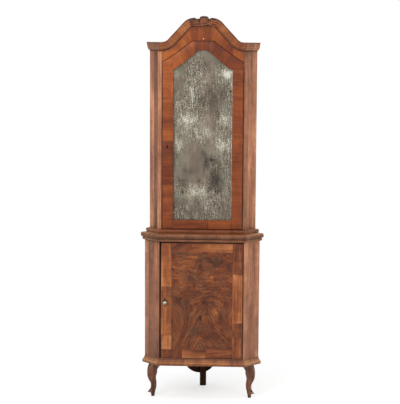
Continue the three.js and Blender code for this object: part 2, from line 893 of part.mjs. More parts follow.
// Plinth and waist
for (let i = 0; i < runs.length; i += 1) {
  place(lowerCase, `plinth_${runs[i]}`, mitredRun(lower, i, plinthSection, legHeight), moulding);
  place(lowerCase, `waist_moulding_${runs[i]}`, mitredRun(lower, i, waistSection, waistBottom), moulding);
  place(upperCase, `base_moulding_${runs[i]}`, mitredRun(upper, i, baseSection, waistTop), moulding);
}

// Legs
for (const [name, side] of sides) {
  const leg = place(lowerCase, `front_leg_${name}`, cabrioleLeg(), legWood);
  leg.rotation.z = side > 0 ? -Math.PI / 4 : (-3 * Math.PI) / 4;
  leg.position.set(side * (lower.half + lower.run / 2), lower.run / 2, 0);
}
place(lowerCase, 'rear_leg', rearLeg(), darkWood);

// Lower carcase
for (const [name, side] of sides) {
  const board = planPrism(sideOutline(lower, side), plinthTop, waistBottom);
  const beds = side > 0 ? lowerHinges.map((z) => leafBed(lower, z, lower.jamb, 1)) : [];
  place(lowerCase, `lower_side_${name}`, cut(board, ...beds), cantWalnut);
  const post = planPrism(postOutline(lower, side), plinthTop, lowerTopUnder);
  const mortises = side < 0 ? [boltMortise(lower, lowerLockWidth, lowerKeyLevel)] : [];
  place(lowerCase, `lower_post_${name}`, cut(post, ...mortises), pine);
  const wallBoard = planPrism(wallBoardOutline(lower, side), legHeight, lowerTopUnder);
  place(lowerCase, `lower_back_${name}`, cut(wallBoard, housing(lower, lowerShelfLevel)), pine);
}
place(lowerCase, 'lower_back_centre', lowerRearBoard(lowerTopUnder), darkWood);
place(lowerCase, 'lower_bottom',
  planPrism(deckOutline(lower, sideThickness + fit), plinthTop - deckThickness, plinthTop), pine);
const wallEndX = lower.half + lower.run - (sideThickness + fit) * diagonal;
const wallEndY = lower.run + (sideThickness + fit) * diagonal;
const lidFront = sideThickness + fit;
place(lowerCase, 'lower_top', planPrism(mirrored([
  [lidFront + lower.cantLine - fit * Math.SQRT2, lidFront],
  [wallEndX, wallEndY],
  [rearHalf, caseDepth],
]), lowerTopUnder, waistTop), pine);

// Shelves, let into housings in the wall boards
place(lowerCase, 'lower_shelf', shelf(lower, lowerShelfLevel), pine);
place(upperCase, 'upper_shelf_low', shelf(upper, upperShelfLevels[0]), pine);
place(upperCase, 'upper_shelf_high', shelf(upper, upperShelfLevels[1]), pine);

// Upper carcase
for (const [name, side] of sides) {
  const board = planPrism(sideOutline(upper, side), baseTop, corniceTop);
  const beds = side > 0 ? upperHinges.map((z) => leafBed(upper, z, upper.jamb, 1)) : [];
  place(upperCase, `upper_side_${name}`, cut(board, ...beds), cantWalnut);
  const post = planPrism(postOutline(upper, side), baseTop, upperTopUnder);
  const mortises = side < 0 ? [boltMortise(upper, upperLockWidth, upperKeyLevel)] : [];
  place(upperCase, `upper_post_${name}`, cut(post, ...mortises), pine);
  const wallBoard = planPrism(wallBoardOutline(upper, side), waistTop, corniceTop);
  const housings = upperShelfLevels.map((level) => housing(upper, level));
  place(upperCase, `upper_back_${name}`, cut(wallBoard, ...housings), pine);
}
place(upperCase, 'upper_back_centre', planPrism(rearOutline, waistTop, corniceTop), pine);
place(upperCase, 'upper_bottom', planPrism(
  deckOutline(upper, upper.front + sideThickness + fit), baseTop - deckThickness, baseTop), pine);
place(upperCase, 'upper_top', planPrism(deckOutline(upper, upper.stop), upperTopUnder, corniceTop), pine);

// Frieze and cornice. Above the top deck the frieze is thicker, and stops the crown of the door
const friezeHalf = upper.jamb - fit;
const friezeTop = wholeArch(pediment, -friezeInset, friezeHalf);
function friezeBacking(near, far, bottom) {
  const sheet = [...friezeTop, [-friezeHalf, upperTopUnder], [friezeHalf, upperTopUnder]];
  return keep(
    frontPrism(sheet, near, far),
    block(-friezeHalf, friezeHalf, near - overrun, far + overrun, bottom, crownTop),
  );
}
const friezeFoot = wholeArch(doorArch, archGap, friezeHalf);
place(upperCase, 'frieze', join(
  frontPrism([...friezeTop, ...friezeFoot.reverse()], upper.front, upper.doorBack),
  friezeBacking(upper.doorBack - overrun, upper.stop + overrun, doorArch.crown + archGap),
  friezeBacking(upper.stop, upper.stop + friezeStopDepth, corniceTop + fit),
), walnut);
for (const [name, side] of sides) {
  place(upperCase, `cornice_arch_${name}`, archedHalf(side), moulding);
  place(upperCase, `cornice_return_${name}`,
    mitredRun(upper, side > 0 ? 2 : 0, corniceSection(fit), corniceTop, -1), moulding);
}
place(upperCase, 'crest', crest(), legWood);

// Lower door
const lowerPanel = block(
  lower.doorLeft, lower.doorRight, lower.front, lower.doorBack, lower.sill, lowerDoorTop,
);
const lowerBeds = lowerHinges.map((z) => leafBed(lower, z, lower.doorRight, -1));
const lowerHole = keyHole(lowerKeyX, lowerKeyLevel, lower.front - fit, lower.doorBack + fit);
place(lowerDoor, 'lower_door_panel', cut(lowerPanel, lowerHole, ...lowerBeds), burl);

// Upper door
function paneOutline(offset) {
  const half = glassHalf + offset;
  return [[-half, glassSill - offset], [half, glassSill - offset], ...wholeArch(glassArch, offset, half)];
}
const rebate = frontPrism(paneOutline(rebateWidth), upper.doorBack - rebateDepth, upper.doorBack + fit);
const upperBeds = upperHinges.map((z) => leafBed(upper, z, upper.doorRight, -1));
const upperHole = keyHole(upperKeyX, upperKeyLevel, upper.front - fit, upper.doorBack + fit);
for (const [name, side] of sides) {
  const x0 = Math.min(side * glassHalf, side * upper.doorRight);
  const stile = block(x0, x0 + stileWidth, upper.front, upper.doorBack, upper.sill, glassShoulder);
  const cuts = side > 0 ? [rebate, ...upperBeds] : [rebate, upperHole];
  place(upperDoor, `upper_door_stile_${name}`, cut(stile, ...cuts), walnut);
}
const archRail = frontPrism([
  ...wholeArch(doorArch, 0, upper.doorRight),
  [-upper.doorRight, glassShoulder],
  [-glassHalf, glassShoulder],
  ...wholeArch(glassArch, 0, glassHalf).reverse().slice(1, -1),
  [glassHalf, glassShoulder],
  [upper.doorRight, glassShoulder],
], upper.front, upper.doorBack);
place(upperDoor, 'upper_door_arch_rail', cut(archRail, rebate, ...upperBeds), walnut);
const bottomRail = block(-glassHalf, glassHalf, upper.front, upper.doorBack, upper.sill, glassSill);
place(upperDoor, 'upper_door_bottom_rail', cut(bottomRail, rebate), walnut);
const paneFront = upper.doorBack - rebateDepth + fit;
const paneGrow = rebateWidth - fit;
const paneBack = paneFront + glassThickness;
place(upperDoor, 'mirror_glass', frontPrism(paneOutline(paneGrow), paneFront, paneBack), mirror);
const backFront = paneBack + fit;
place(upperDoor, 'mirror_backboard',
  frontPrism(paneOutline(paneGrow), backFront, backFront + mirrorBackThickness), pine);

// Hinges of both doors
for (const [prefix, stage, levels, group, frame] of [
  ['lower', lower, lowerHinges, lowerDoor, lowerCase],
  ['upper', upper, upperHinges, upperDoor, upperCase],
]) {
  for (const [i, name] of [[0, 'low'], [1, 'high']]) {
    place(group, `${prefix}_hinge_${name}_door_leaf`, doorLeaf(stage, levels[i]), iron);
    place(frame, `${prefix}_hinge_${name}_jamb_leaf`, jambLeaf(stage, levels[i]), iron);
  }
}

// Locks of both doors
place(lowerDoor, 'lower_lock_case', lockCase(lower, lowerLockWidth, lowerKeyX, lowerKeyLevel), iron);
place(lowerDoor, 'lower_lock_bolt', lockBolt(lower, lowerLockWidth, lowerKeyX, lowerKeyLevel), iron);
place(upperDoor, 'upper_lock_case', lockCase(upper, upperLockWidth, upperKeyX, upperKeyLevel), iron);
place(upperDoor, 'upper_lock_bolt', lockBolt(upper, upperLockWidth, upperKeyX, upperKeyLevel), iron);

// Escutcheon: a lozenge with hollow sides, pierced for the key
function escutcheon() {
  const half = escutcheonWidth / 2;
  const rise = escutcheonHeight / 2;
  const shape = new THREE.Shape();
  shape.moveTo(half, 0);
  for (const [sx, sz, ex, ez] of [[1, 1, 0, rise], [-1, 1, -half, 0], [-1, -1, 0, -rise], [1, -1, half, 0]]) {
    const pullX = sx * (half / 2 - escutcheonWaist / 2);
    const pullZ = sz * (rise / 2 - escutcheonWaist / 2);
    shape.quadraticCurveTo(pullX, pullZ, ex, ez);
  }
  const points = shape.getPoints(arcSteps / 2).slice(0, -1);
  const outline = points.map((p) => [p.x + lowerKeyX, p.y + lowerKeyLevel]);
  const plate = frontPrism(outline, lower.front - escutcheonThickness, lower.front);
  return cut(plate, keyHole(lowerKeyX, lowerKeyLevel, lower.front - keyStand, lower.front + fit));
}
place(lowerDoor, 'escutcheon', escutcheon(), brass);

// Key: bow, collar, shank and bit, its end in the back plate of the lock
function key() {
  const shankFront = lower.front - keyStand;
  const shankEnd = lower.doorBack + lockDepth;
  const shank = yBar(lowerKeyX, lowerKeyLevel, keyRadius, shankFront, shankEnd, knuckleSides);
  const collar = yBar(
    lowerKeyX, lowerKeyLevel, keyCollarRadius, shankFront, shankFront + keyCollarLength, knuckleSides,
  );
  const bow = new THREE.TorusGeometry(1, bowWire / bowWidth, knuckleSides / 2, bowSegments);
  bow.scale(bowWidth / 2 - bowWire / 2, bowLength / 2 - bowWire / 2, bowWidth / 2);
  bow.translate(lowerKeyX, shankFront - bowLength / 2 + bowWire / 2, lowerKeyLevel);
  const bitEnd = shankEnd - lockWall - fit;
  const bit = block(
    lowerKeyX, lowerKeyX + keyRadius + keyBitLength, bitEnd - keyBitWidth, bitEnd,
    lowerKeyLevel - keyBitThickness / 2, lowerKeyLevel + keyBitThickness / 2,
  );
  return join(shank, collar, bow, bit);
}
place(lowerDoor, 'lower_key', key(), brightIron);

export default cupboard;
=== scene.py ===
# Corner cupboard: veneers, mouldings, carving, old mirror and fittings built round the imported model.
# Lengths are millimetres on the plan, with y measured from the front of the lower door, until a mesh
# is written in metres.
import math
import random
from collections import namedtuple

import bmesh
import bpy
from mathutils import Matrix, Vector, noise
from mathutils.geometry import tessellate_polygon

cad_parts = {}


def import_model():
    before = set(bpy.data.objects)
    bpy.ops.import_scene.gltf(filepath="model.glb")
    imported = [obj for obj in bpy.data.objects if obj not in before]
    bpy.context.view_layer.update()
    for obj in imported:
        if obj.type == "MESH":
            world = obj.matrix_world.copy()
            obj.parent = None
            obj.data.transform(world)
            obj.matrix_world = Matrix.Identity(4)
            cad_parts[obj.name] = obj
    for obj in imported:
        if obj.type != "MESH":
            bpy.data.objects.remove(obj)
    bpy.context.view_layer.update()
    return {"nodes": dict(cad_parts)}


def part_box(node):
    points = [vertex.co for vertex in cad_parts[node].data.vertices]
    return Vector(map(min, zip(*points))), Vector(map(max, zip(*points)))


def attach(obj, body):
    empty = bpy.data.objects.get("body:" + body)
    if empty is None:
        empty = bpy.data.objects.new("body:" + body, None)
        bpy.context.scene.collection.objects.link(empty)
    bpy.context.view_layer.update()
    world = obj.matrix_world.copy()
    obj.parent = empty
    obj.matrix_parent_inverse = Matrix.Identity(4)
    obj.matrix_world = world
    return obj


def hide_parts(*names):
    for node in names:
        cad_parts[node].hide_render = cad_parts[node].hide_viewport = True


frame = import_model()

MM = 0.001
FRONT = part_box("lower_door_panel")[0].y
FIT = 0.3
LIP = 4.5
SIDE_THICKNESS = 20
VENEER = 1
SLANT = math.sqrt(0.5)
ROOT_TWO = math.sqrt(2)
MITRE = math.tan(math.pi / 8)
HAIRLINE = FIT / 2 / math.cos(math.pi / 8)
SIDES = ((1, "right"), (-1, "left"))


def span(node):
    """Lowest and highest corner of a CAD node, in millimetres on the plan"""
    low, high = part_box(node)
    origin = Vector((0, FRONT, 0))
    return (low - origin) / MM, (high - origin) / MM


# Plan and levels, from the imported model
Stage = namedtuple("Stage", "half front run jamb")


def stage(side_node, door_node):
    """Half width of the front, its plane, depth of the canted sides and place of the jamb"""
    low, high = span(side_node)
    half = low.x + LIP
    return Stage(half, span(door_node)[0].y, high.x - half, low.x)


LOWER = stage("lower_side_right", "lower_door_panel")
UPPER = stage("upper_side_right", "upper_door_stile_left")
LEG_TOP, PLINTH_TOP = (corner.z for corner in span("plinth_front"))
WAIST_LOW, WAIST_TOP = (corner.z for corner in span("waist_moulding_front"))
BASE_TOP = span("base_moulding_front")[1].z
CORNICE_TOP = span("cornice_return_right")[1].z
CREST_TOP = span("crest")[1].z
CREST_RISE = 10
CROWN = CREST_TOP - CREST_RISE
DOOR_LOW, DOOR_HIGH = span("lower_door_panel")
STILE_LOW, STILE_HIGH = span("upper_door_stile_right")
ARCH_HIGH = span("upper_door_arch_rail")[1]
PANE_LOW, PANE_HIGH = span("mirror_glass")

# Arched edges: half-width, crown, shoulder, slopes at the steepest and at the shoulder, and radii
GLASS_HALF = STILE_LOW.x
PEDIMENT = (UPPER.half, CROWN, CORNICE_TOP, 47.3, 0, 70, 52)
DOOR_ARCH = (STILE_HIGH.x, ARCH_HIGH.z, CORNICE_TOP - 102, 38, 30, 22, 900)
GLASS_ARCH = (GLASS_HALF, STILE_HIGH.z + 101, STILE_HIGH.z, 39.2, 27.6, 33, 278)
ARCH_STEPS = 16
CORNICE_HEIGHT = 46


def arc(x, z, radius, start, end):
    """Points round a middle, between two angles from upright"""
    for i in range(ARCH_STEPS + 1):
        angle = start + (end - start) * i / ARCH_STEPS
        yield x + radius * math.sin(angle), z + radius * math.cos(angle)


def arch_edge(arch, offset=0.0, reach=None):
    """The right half of an arched edge from crown to shoulder, moved outwards by offset"""
    half, crown, shoulder, slope, shoulder_slope, crown_radius, hollow_radius = arch
    slope, shoulder_slope = math.radians(slope), math.radians(shoulder_slope)
    reach = half if reach is None else reach
    crown_drop = crown_radius * (1 - math.cos(slope))
    hollow_drop = hollow_radius * (math.cos(shoulder_slope) - math.cos(slope))
    straight = (crown - shoulder - crown_drop - hollow_drop) / math.sin(slope)
    hollow_run = hollow_radius * (math.sin(slope) - math.sin(shoulder_slope))
    flat = half - crown_radius * math.sin(slope) - straight * math.cos(slope) - hollow_run
    hollow_x = half + hollow_radius * math.sin(shoulder_slope)
    hollow_z = shoulder + hollow_radius * math.cos(shoulder_slope)
    points = [(0.0, crown + offset), *arc(flat, crown - crown_radius, crown_radius + offset, 0.0, slope),
              *arc(hollow_x, hollow_z, offset - hollow_radius, slope, shoulder_slope)]
    inside = [p for p in points if p[0] < reach - FIT]
    end_x, end_z = inside[-1]
    inside.append((reach, end_z - (reach - end_x) * math.tan(shoulder_slope)))
    return inside


def height_on(edge, x):
    """The level of an arched edge at a place across the front"""
    x = abs(x)
    for (x0, z0), (x1, z1) in zip(edge, edge[1:]):
        if x <= x1:
            return z0 + (z1 - z0) * (x - x0) / max(x1 - x0, MM)
    return edge[-1][1]


PEDIMENT_EDGE = arch_edge(PEDIMENT)


# Node graphs for materials


def srgb(text):
    """A colour written as six hexadecimal digits, as linear red, green, blue and alpha"""
    parts = [int(text[i:i + 2], 16) / 255 for i in (0, 2, 4)]
    linear = [c / 12.92 if c <= 0.04045 else ((c + 0.055) / 1.055) ** 2.4 for c in parts]
    return (*linear, 1.0)


class Graph:
    """The nodes of one material or of the world, with short calls for those that are used here"""

    def __init__(self, owner, shader="Principled BSDF"):
        owner.use_nodes = True
        self.owner = owner
        self.tree = owner.node_tree
        self.shader = self.tree.nodes[shader]

    def add(self, kind, inputs=(), **settings):
        made = self.tree.nodes.new(kind)
        for key, value in settings.items():
            setattr(made, key, value)
        for socket, value in dict(inputs).items():
            self.feed(made.inputs[socket], value)
        return made

    def feed(self, socket, value):
        """Links or sets a socket. A text is a colour"""
        if isinstance(value, bpy.types.NodeSocket):
            self.tree.links.new(value, socket)
        else:
            socket.default_value = srgb(value) if isinstance(value, str) else value

    def set(self, **inputs):
        for name, value in inputs.items():
            self.feed(self.shader.inputs[name.replace("_", " ")], value)

    def attribute(self, name, output="Fac"):
        return self.add("ShaderNodeAttribute", attribute_name=name).outputs[output]

    def place(self):
        return self.add("ShaderNodeTexCoord").outputs["Object"]

    def axis(self, name):
        return self.add("ShaderNodeSeparateXYZ", {"Vector": self.place()}).outputs[name]

    def scaled(self, vector, scale, turn=(0, 0, 0)):
        inputs = {"Vector": vector, "Scale": scale, "Rotation": turn}
        return self.add("ShaderNodeMapping", inputs).outputs["Vector"]

    def noise(self, vector, scale, detail=3.0, rough=0.55, warp=0.0, along=1.0):
        """Noise that is drawn out along z where along is below 1"""
        if along != 1.0:
            vector = self.scaled(vector, (1, 1, along))
        inputs = {"Vector": vector, "Scale": scale, "Detail": detail, "Roughness": rough,
                  "Distortion": warp}
        return self.add("ShaderNodeTexNoise", inputs).outputs["Fac"]

    def swayed(self, vector, source, scale, detail, reach):
        """The vector, moved about by a noise over the source"""
        inputs = {"Vector": source, "Scale": scale, "Detail": detail}
        drift = self.add("ShaderNodeTexNoise", inputs).outputs["Color"]
        drift = self.vector("SUBTRACT", drift, (0.5, 0.5, 0.5))
        return self.vector("ADD", vector, self.vector("MULTIPLY", drift, reach))

    def cells(self, vector, scale):
        inputs = {"Vector": vector, "Scale": scale}
        return self.add("ShaderNodeTexVoronoi", inputs).outputs["Distance"]

    def math(self, operation, a, b=0.0, c=0.0):
        return self.add("ShaderNodeMath", {0: a, 1: b, 2: c}, operation=operation).outputs[0]

    def total(self, *parts):
        """The sum of values that are given with their shares"""
        made = 0.0
        for value, share in parts:
            made = self.math("MULTIPLY_ADD", value, share, made)
        return made

    def about(self, value, reach, base=0.0):
        """The base, moved up and down by a value that lies about a half"""
        return self.math("MULTIPLY_ADD", self.math("SUBTRACT", value, 0.5), reach, base)

    def vector(self, operation, a, b, output=0):
        return self.add("ShaderNodeVectorMath", {0: a, 1: b}, operation=operation).outputs[output]

    def between(self, value, low, high, start=0.0, end=1.0):
        """The value from low to high, stretched to start to end and held there"""
        inputs = {"Value": value, "From Min": low, "From Max": high, "To Min": start, "To Max": end}
        return self.add("ShaderNodeMapRange", inputs).outputs["Result"]

    def mix(self, share, a, b):
        return self.add("ShaderNodeMix", {0: share, 6: a, 7: b}, data_type="RGBA").outputs[2]

    def ramp(self, value, stops):
        made = self.add("ShaderNodeValToRGB", {"Fac": value})
        elements = made.color_ramp.elements
        while len(elements) < len(stops):
            elements.new(0.5)
        for element, (position, colour) in zip(elements, stops):
            element.position = position
            element.color = srgb(colour)
        return made.outputs["Color"]

    def bump(self, height, distance, strength=1.0, **more):
        inputs = {"Height": height, "Distance": distance, "Strength": strength, **more}
        return self.add("ShaderNodeBump", inputs).outputs["Normal"]

    def seen(self):
        """1 for what the camera, a reflection or a clear piece sees, and 0 for light on other pieces"""
        path = self.add("ShaderNodeLightPath").outputs
        either = self.math("MAXIMUM", path["Is Camera Ray"], path["Is Glossy Ray"])
        return self.math("MAXIMUM", either, path["Is Transmission Ray"])


ROLLING = 0.0012


def wood(name, stops, worn, dark_tone, roughness, figure=1.0, calm=1.0, turn=None, gloss=0.25, boards=0.0):
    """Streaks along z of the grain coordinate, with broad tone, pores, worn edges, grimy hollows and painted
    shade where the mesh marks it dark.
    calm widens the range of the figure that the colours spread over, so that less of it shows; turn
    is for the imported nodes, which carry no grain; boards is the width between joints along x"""
    g = Graph(bpy.data.materials.new(name))
    plain = turn is not None
    grain = g.scaled(g.place(), (1, 1, 1), turn) if plain else g.attribute("grain", "Vector")
    sway = 0.035 * figure
    grain = g.swayed(grain, g.scaled(grain, (1, 1, 0.4)), 7.0, 2.0, (sway, sway, 0.0))
    broad = g.noise(grain, 14.0, 3.0, along=0.25)
    streak = g.noise(grain, 105.0, 4.0, 0.62, along=0.035)
    fine = g.noise(grain, 520.0, 3.0, 0.6, along=0.03)
    ripple = g.noise(g.scaled(grain, (0.35, 0.35, 1)), 42.0, 2.0)
    tone = g.total((streak, 0.42), (broad, 0.5), (fine, 0.12))
    tone = g.about(ripple, 0.16 * figure, tone)
    middle, reach = 0.53, 0.19 * calm
    tone = g.between(tone, middle - reach, middle + reach)
    if not plain:
        tone = g.math("ADD", tone, g.attribute("tint"))
    pores = g.between(g.noise(grain, 1500.0, 1.0, along=0.045), 0.62, 0.74, 0.0, 0.5)
    colour = g.mix(pores, g.ramp(tone, stops), dark_tone)
    patina = g.noise(g.place(), 9.0, 4.0, 0.6)
    colour = g.mix(g.between(patina, 0.5, 0.8, 0.0, 0.35), colour, dark_tone)
    if boards:
        across = g.axis("X")
        number = g.math("FLOOR", g.math("DIVIDE", across, boards))
        board = g.add("ShaderNodeTexWhiteNoise", {"W": number}, noise_dimensions="1D").outputs["Value"]
        colour = g.mix(g.math("MULTIPLY", board, 0.35), colour, stops[0][1])
        joint = g.between(g.math("PINGPONG", across, boards / 2), 0.0011, 0.0005)
        colour = g.mix(joint, colour, "150d07")
    if plain:
        # Imported boards are darker close behind the door fronts: painted shade where they show in the door
        # gaps
        front_gap_shade = g.between(g.axis("Y"), FRONT + 0.05, FRONT + 0.02, 0.0, 0.85)
        colour = g.mix(front_gap_shade, colour, dark_tone)
    else:
        edge = g.attribute("wear")
        rub = g.noise(g.place(), 60.0, 3.0)
        brightened = g.math("MULTIPLY", g.between(edge, 0.15, 1.0), g.between(rub, 0.3, 0.7, 0.05, 0.5))
        colour = g.mix(brightened, colour, worn)
        # Dark where the mark is below zero: grime in hollows, and painted shade in the door gaps and under
        # the cornice
        colour = g.mix(g.between(edge, -0.1, -1.0, 0.0, 0.85), colour, dark_tone)
    rough = g.between(g.noise(g.place(), 30.0, 3.0), 0.3, 0.7, roughness - 0.06, roughness + 0.1)
    rolling = g.bump(g.noise(g.place(), 22.0, 2.0), ROLLING, 0.35)
    normal = g.bump(g.total((pores, -0.6), (streak, 0.5)), 0.00025, 0.5, Normal=rolling)
    g.set(Base_Color=colour, Roughness=rough, Normal=normal, Specular_IOR_Level=gloss)
    return g.owner


def burl(name, stops, dark_tone):
    """Burr walnut: the grain coordinate's z runs along the figure, which each leaf's mesh lays out"""
    g = Graph(bpy.data.materials.new(name))
    grain = g.attribute("grain", "Vector")
    for scale, detail, sway in ((22.0, 3.0, 0.018), (75.0, 2.0, 0.012)):
        grain = g.swayed(grain, grain, scale, detail, (sway, sway, sway))
    broad = g.noise(grain, 13.0, 3.0, 0.55)
    wave = g.noise(grain, 85.0, 3.0, 0.55, along=0.2)
    curl = g.noise(grain, 190.0, 3.0, 0.6, 0.6, along=0.4)
    fleck = g.noise(grain, 420.0, 2.0, 0.6, 0.5)
    tone = g.total((wave, 0.4), (broad, 0.26), (curl, 0.3), (fleck, 0.2))
    tone = g.math("ADD", g.between(tone, 0.42, 0.75), g.attribute("tint"))
    colour = g.ramp(tone, stops)
    line = g.noise(grain, 60.0, 2.0, 0.5, along=0.12)
    vein = g.between(g.math("ABSOLUTE", g.math("SUBTRACT", line, 0.5)), 0.0, 0.03, 0.5, 0.0)
    colour = g.mix(vein, colour, dark_tone)
    colour = g.mix(g.between(g.cells(grain, 34.0), 0.04, 0.13, 0.6, 0.0), colour, dark_tone)
    smoke = g.noise(g.vector("ADD", g.place(), (5, 1, 0)), 16.0, 4.0, 0.62)
    colour = g.mix(g.between(smoke, 0.48, 0.66, 0.0, 0.45), colour, "553b29")
    patina = g.noise(g.place(), 7.0, 4.0, 0.6)
    colour = g.mix(g.between(patina, 0.5, 0.8, 0.0, 0.3), colour, dark_tone)
    rough = g.between(g.noise(g.place(), 30.0, 3.0), 0.3, 0.7, 0.38, 0.52)
    rolling = g.bump(g.noise(g.place(), 20.0, 2.0), ROLLING, 0.35)
    g.set(Base_Color=colour, Roughness=rough, Normal=g.bump(wave, 0.0003, 0.4, Normal=rolling),
          Specular_IOR_Level=0.25)
    return g.owner


# Black spots of the mirror, as x, z and radius
BLACK_SPOTS = (
    (46, 1261, 7), (60, 1262, 4.5), (20, 1250, 5), (56, 1236, 4), (143, 1617, 6.5), (143, 1590, 3),
    (-101, 1090, 4), (104, 1096, 2.6), (-60, 1194, 2.2), (-90, 1202, 2), (78, 1556, 2.2), (-20, 1030, 2),
)
SPOT_EDGE = (1.3, 0.7)


def foxed_mirror(name, stops):
    """Old silvering behind glass: cloudy grey, short upright flecks, black spots and pale blooms.
    The mesh's tint carries the clouds, a painted shadow along the left and bottom edges and a painted
    reflection along the right edge, and its other value says how much of the flecking shows"""
    g = Graph(bpy.data.materials.new(name))
    place = g.place()
    clouds_and_painted_edges, flecking = g.attribute("tint"), g.attribute("wear")
    spread = g.noise(place, 22.0, 4.0, 0.6, along=0.3)
    fleck = g.noise(place, 400.0, 2.0, 0.55, along=0.5)
    drawn = g.noise(place, 230.0, 2.0, 0.55, along=0.16)
    broken = g.about(fleck, 2.6, g.about(drawn, 1.3))
    tone = g.about(spread, 0.7, g.math("MULTIPLY_ADD", broken, flecking, 0.5))
    colour = g.ramp(g.math("ADD", tone, clouds_and_painted_edges), stops)
    spots = g.noise(place, 120.0, 3.0, 0.65, along=0.7)
    spots = g.math("MULTIPLY", g.between(spots, 0.66, 0.72), g.between(clouds_and_painted_edges, 0.12, -0.1))
    colour = g.mix(spots, colour, "14110d")
    colour = g.mix(g.between(flecking, 0.5, 0.25, 0.0, 0.25), colour, "78685a")
    green = g.noise(g.vector("ADD", place, (3, 0, 0)), 13.0, 2.0)
    colour = g.mix(g.between(green, 0.5, 0.7, 0.0, 0.3), colour, "6b6f60")
    for x, z, radius in BLACK_SPOTS:
        away = g.vector("DISTANCE", place, (x * MM, FRONT + PANE_LOW.y * MM, z * MM), "Value")
        outer, inner = (radius * MM * share for share in SPOT_EDGE)
        colour = g.mix(g.between(g.about(fleck, 0.006, away), outer, inner), colour, "0f0c09")
    g.set(Base_Color=colour, Metallic=0.1, Roughness=g.between(fleck, 0.35, 0.65, 0.5, 0.36),
          Specular_IOR_Level=0.35, Coat_Weight=0.1, Coat_Roughness=0.12,
          Normal=g.bump(g.noise(place, 14.0, 2.0), 0.0008, 0.3))
    return g.owner


def metal(name, base, dark, roughness, spots, shine=0.85, brightened=None):
    """The last argument is the x and z of a place painted pale as a glint, with its radius"""
    g = Graph(bpy.data.materials.new(name))
    place = g.place()
    tarnish = g.noise(place, 160.0, 4.0, 0.65)
    colour = g.mix(g.between(tarnish, 0.35, 0.65), base, dark)
    rust = g.noise(g.vector("ADD", place, (1, 2, 3)), 320.0, 3.0, 0.6)
    colour = g.mix(g.between(rust, 0.58, 0.7, 0.0, 0.6), colour, spots)
    rough = g.between(tarnish, 0.3, 0.7, roughness - 0.08, roughness + 0.15)
    if brightened:
        x, z, radius = brightened
        flat = g.vector("MULTIPLY", place, (1, 0, 1))
        ragged = g.about(tarnish, 0.012, g.vector("DISTANCE", flat, (x * MM, 0, z * MM), "Value"))
        # A pale patch: painted glint
        colour = g.mix(g.between(ragged, radius * MM, radius * MM * 0.6), colour, "d2c3a6")
    g.set(Base_Color=colour, Metallic=shine, Roughness=rough, Normal=g.bump(tarnish, 0.0002, 0.5))
    return g.owner


EVEN = (0.0, 0.3, 0.55, 0.78, 1.0)
RAISED = (0.0, 0.35, 0.6, 0.82, 1.0)


def palette(colours, places=EVEN):
    """Stops of a colour ramp, from dark to light"""
    return list(zip(places, colours.split()))


WALNUT = palette("3a1a0c 602f16 7c4321 945830 ad7245")
# Near-black softwood: painted shade for parts under the cupboard and in the door gaps
SHADE_DARK = palette("180b05 311c0d 4b2d18", (0.0, 0.5, 1.0))
PINE = palette("6b4a2e 8c6843 a68258 c3a276", (0.0, 0.35, 0.65, 1.0))
BURR = palette("260f05 49200d 612f14 78401d 965b2b", (0.0, 0.28, 0.5, 0.72, 1.0))
SILVER = palette("16130e 393126 594e41 756b5b 989384 b9bbb0", (0.0, 0.25, 0.48, 0.66, 0.85, 1.0))
UPRIGHT, LEVEL = (0, 0, 0), (0, math.pi / 2, 0)
BACK_BOARD = 0.0905

# Stops, worn colour, dark colour for grime and painted shade, roughness, figure, calm, turn, gloss and width
# of the boards
WOODS = {
    "door_walnut": (WALNUT, "b07848", "2a140b", 0.46),
    "cornice_walnut": (WALNUT, "b07848", "2a140b", 0.46, 1.0, 1.5),
    "red_walnut": (palette("361405 59250b 743612 8a481c a15e2a"), "9a5c30", "220e05", 0.46, 1.0, 1.7),
    "base_walnut": (palette("2d1005 4c200b 632f13 773e1d 8b522c"), "84502f", "1c0c05", 0.5, 0.7, 1.9),
    "waist_walnut": (palette("2c150b 472516 5d341f 74462d 905f3e"), "8f6242", "1c0e07", 0.5, 0.7, 1.9),
    "plinth_walnut": (palette("31170a 4e2814 66371d 7f4a2a 9d653a"), "a06a40", "20100a", 0.5, 0.7, 1.7),
    "crest_walnut": (palette("2e150c 552a18 734026 905737 b07a54", RAISED), "bc8660", "21100a", 0.42, 0.6),
    # Paler than the other walnut: partly the faded veneer of the cants, partly painted sheen
    "cant_walnut": (palette("573526 764c37 905f45 a87354 c08c6a"), "c69672", "341a0e", 0.48, 0.8),
    "moulding_walnut": (palette("331c11 512f1e 6a4029 84563a a3744f"), "a87c5a", "20130d", 0.5, 0.7, 1.5),
    "carved_walnut": (palette("22120b 442618 643c29 7e5139 9c6e52", RAISED), "9a7560", "160d09", 0.42, 0.6),
    # Rear leg and back under the cupboard: near black as painted shade
    "stained_softwood": (SHADE_DARK, "4a382a", "0b0705", 0.7, 0.6, 1.0, UPRIGHT, 0.06),
    "softwood": (PINE, "c8a97f", "4f3722", 0.68, 0.9),
    # Posts and door stop seen in the door gaps: dark as painted shade
    "softwood_gap_shade": (SHADE_DARK, "4a382a", "0b0705", 0.7, 0.6, 1.0, UPRIGHT),
    "softwood_upright": (PINE, "c8a97f", "4f3722", 0.68, 0.9, 1.0, UPRIGHT, 0.25, BACK_BOARD),
    "softwood_level": (PINE, "c8a97f", "4f3722", 0.68, 0.9, 1.0, LEVEL),
}
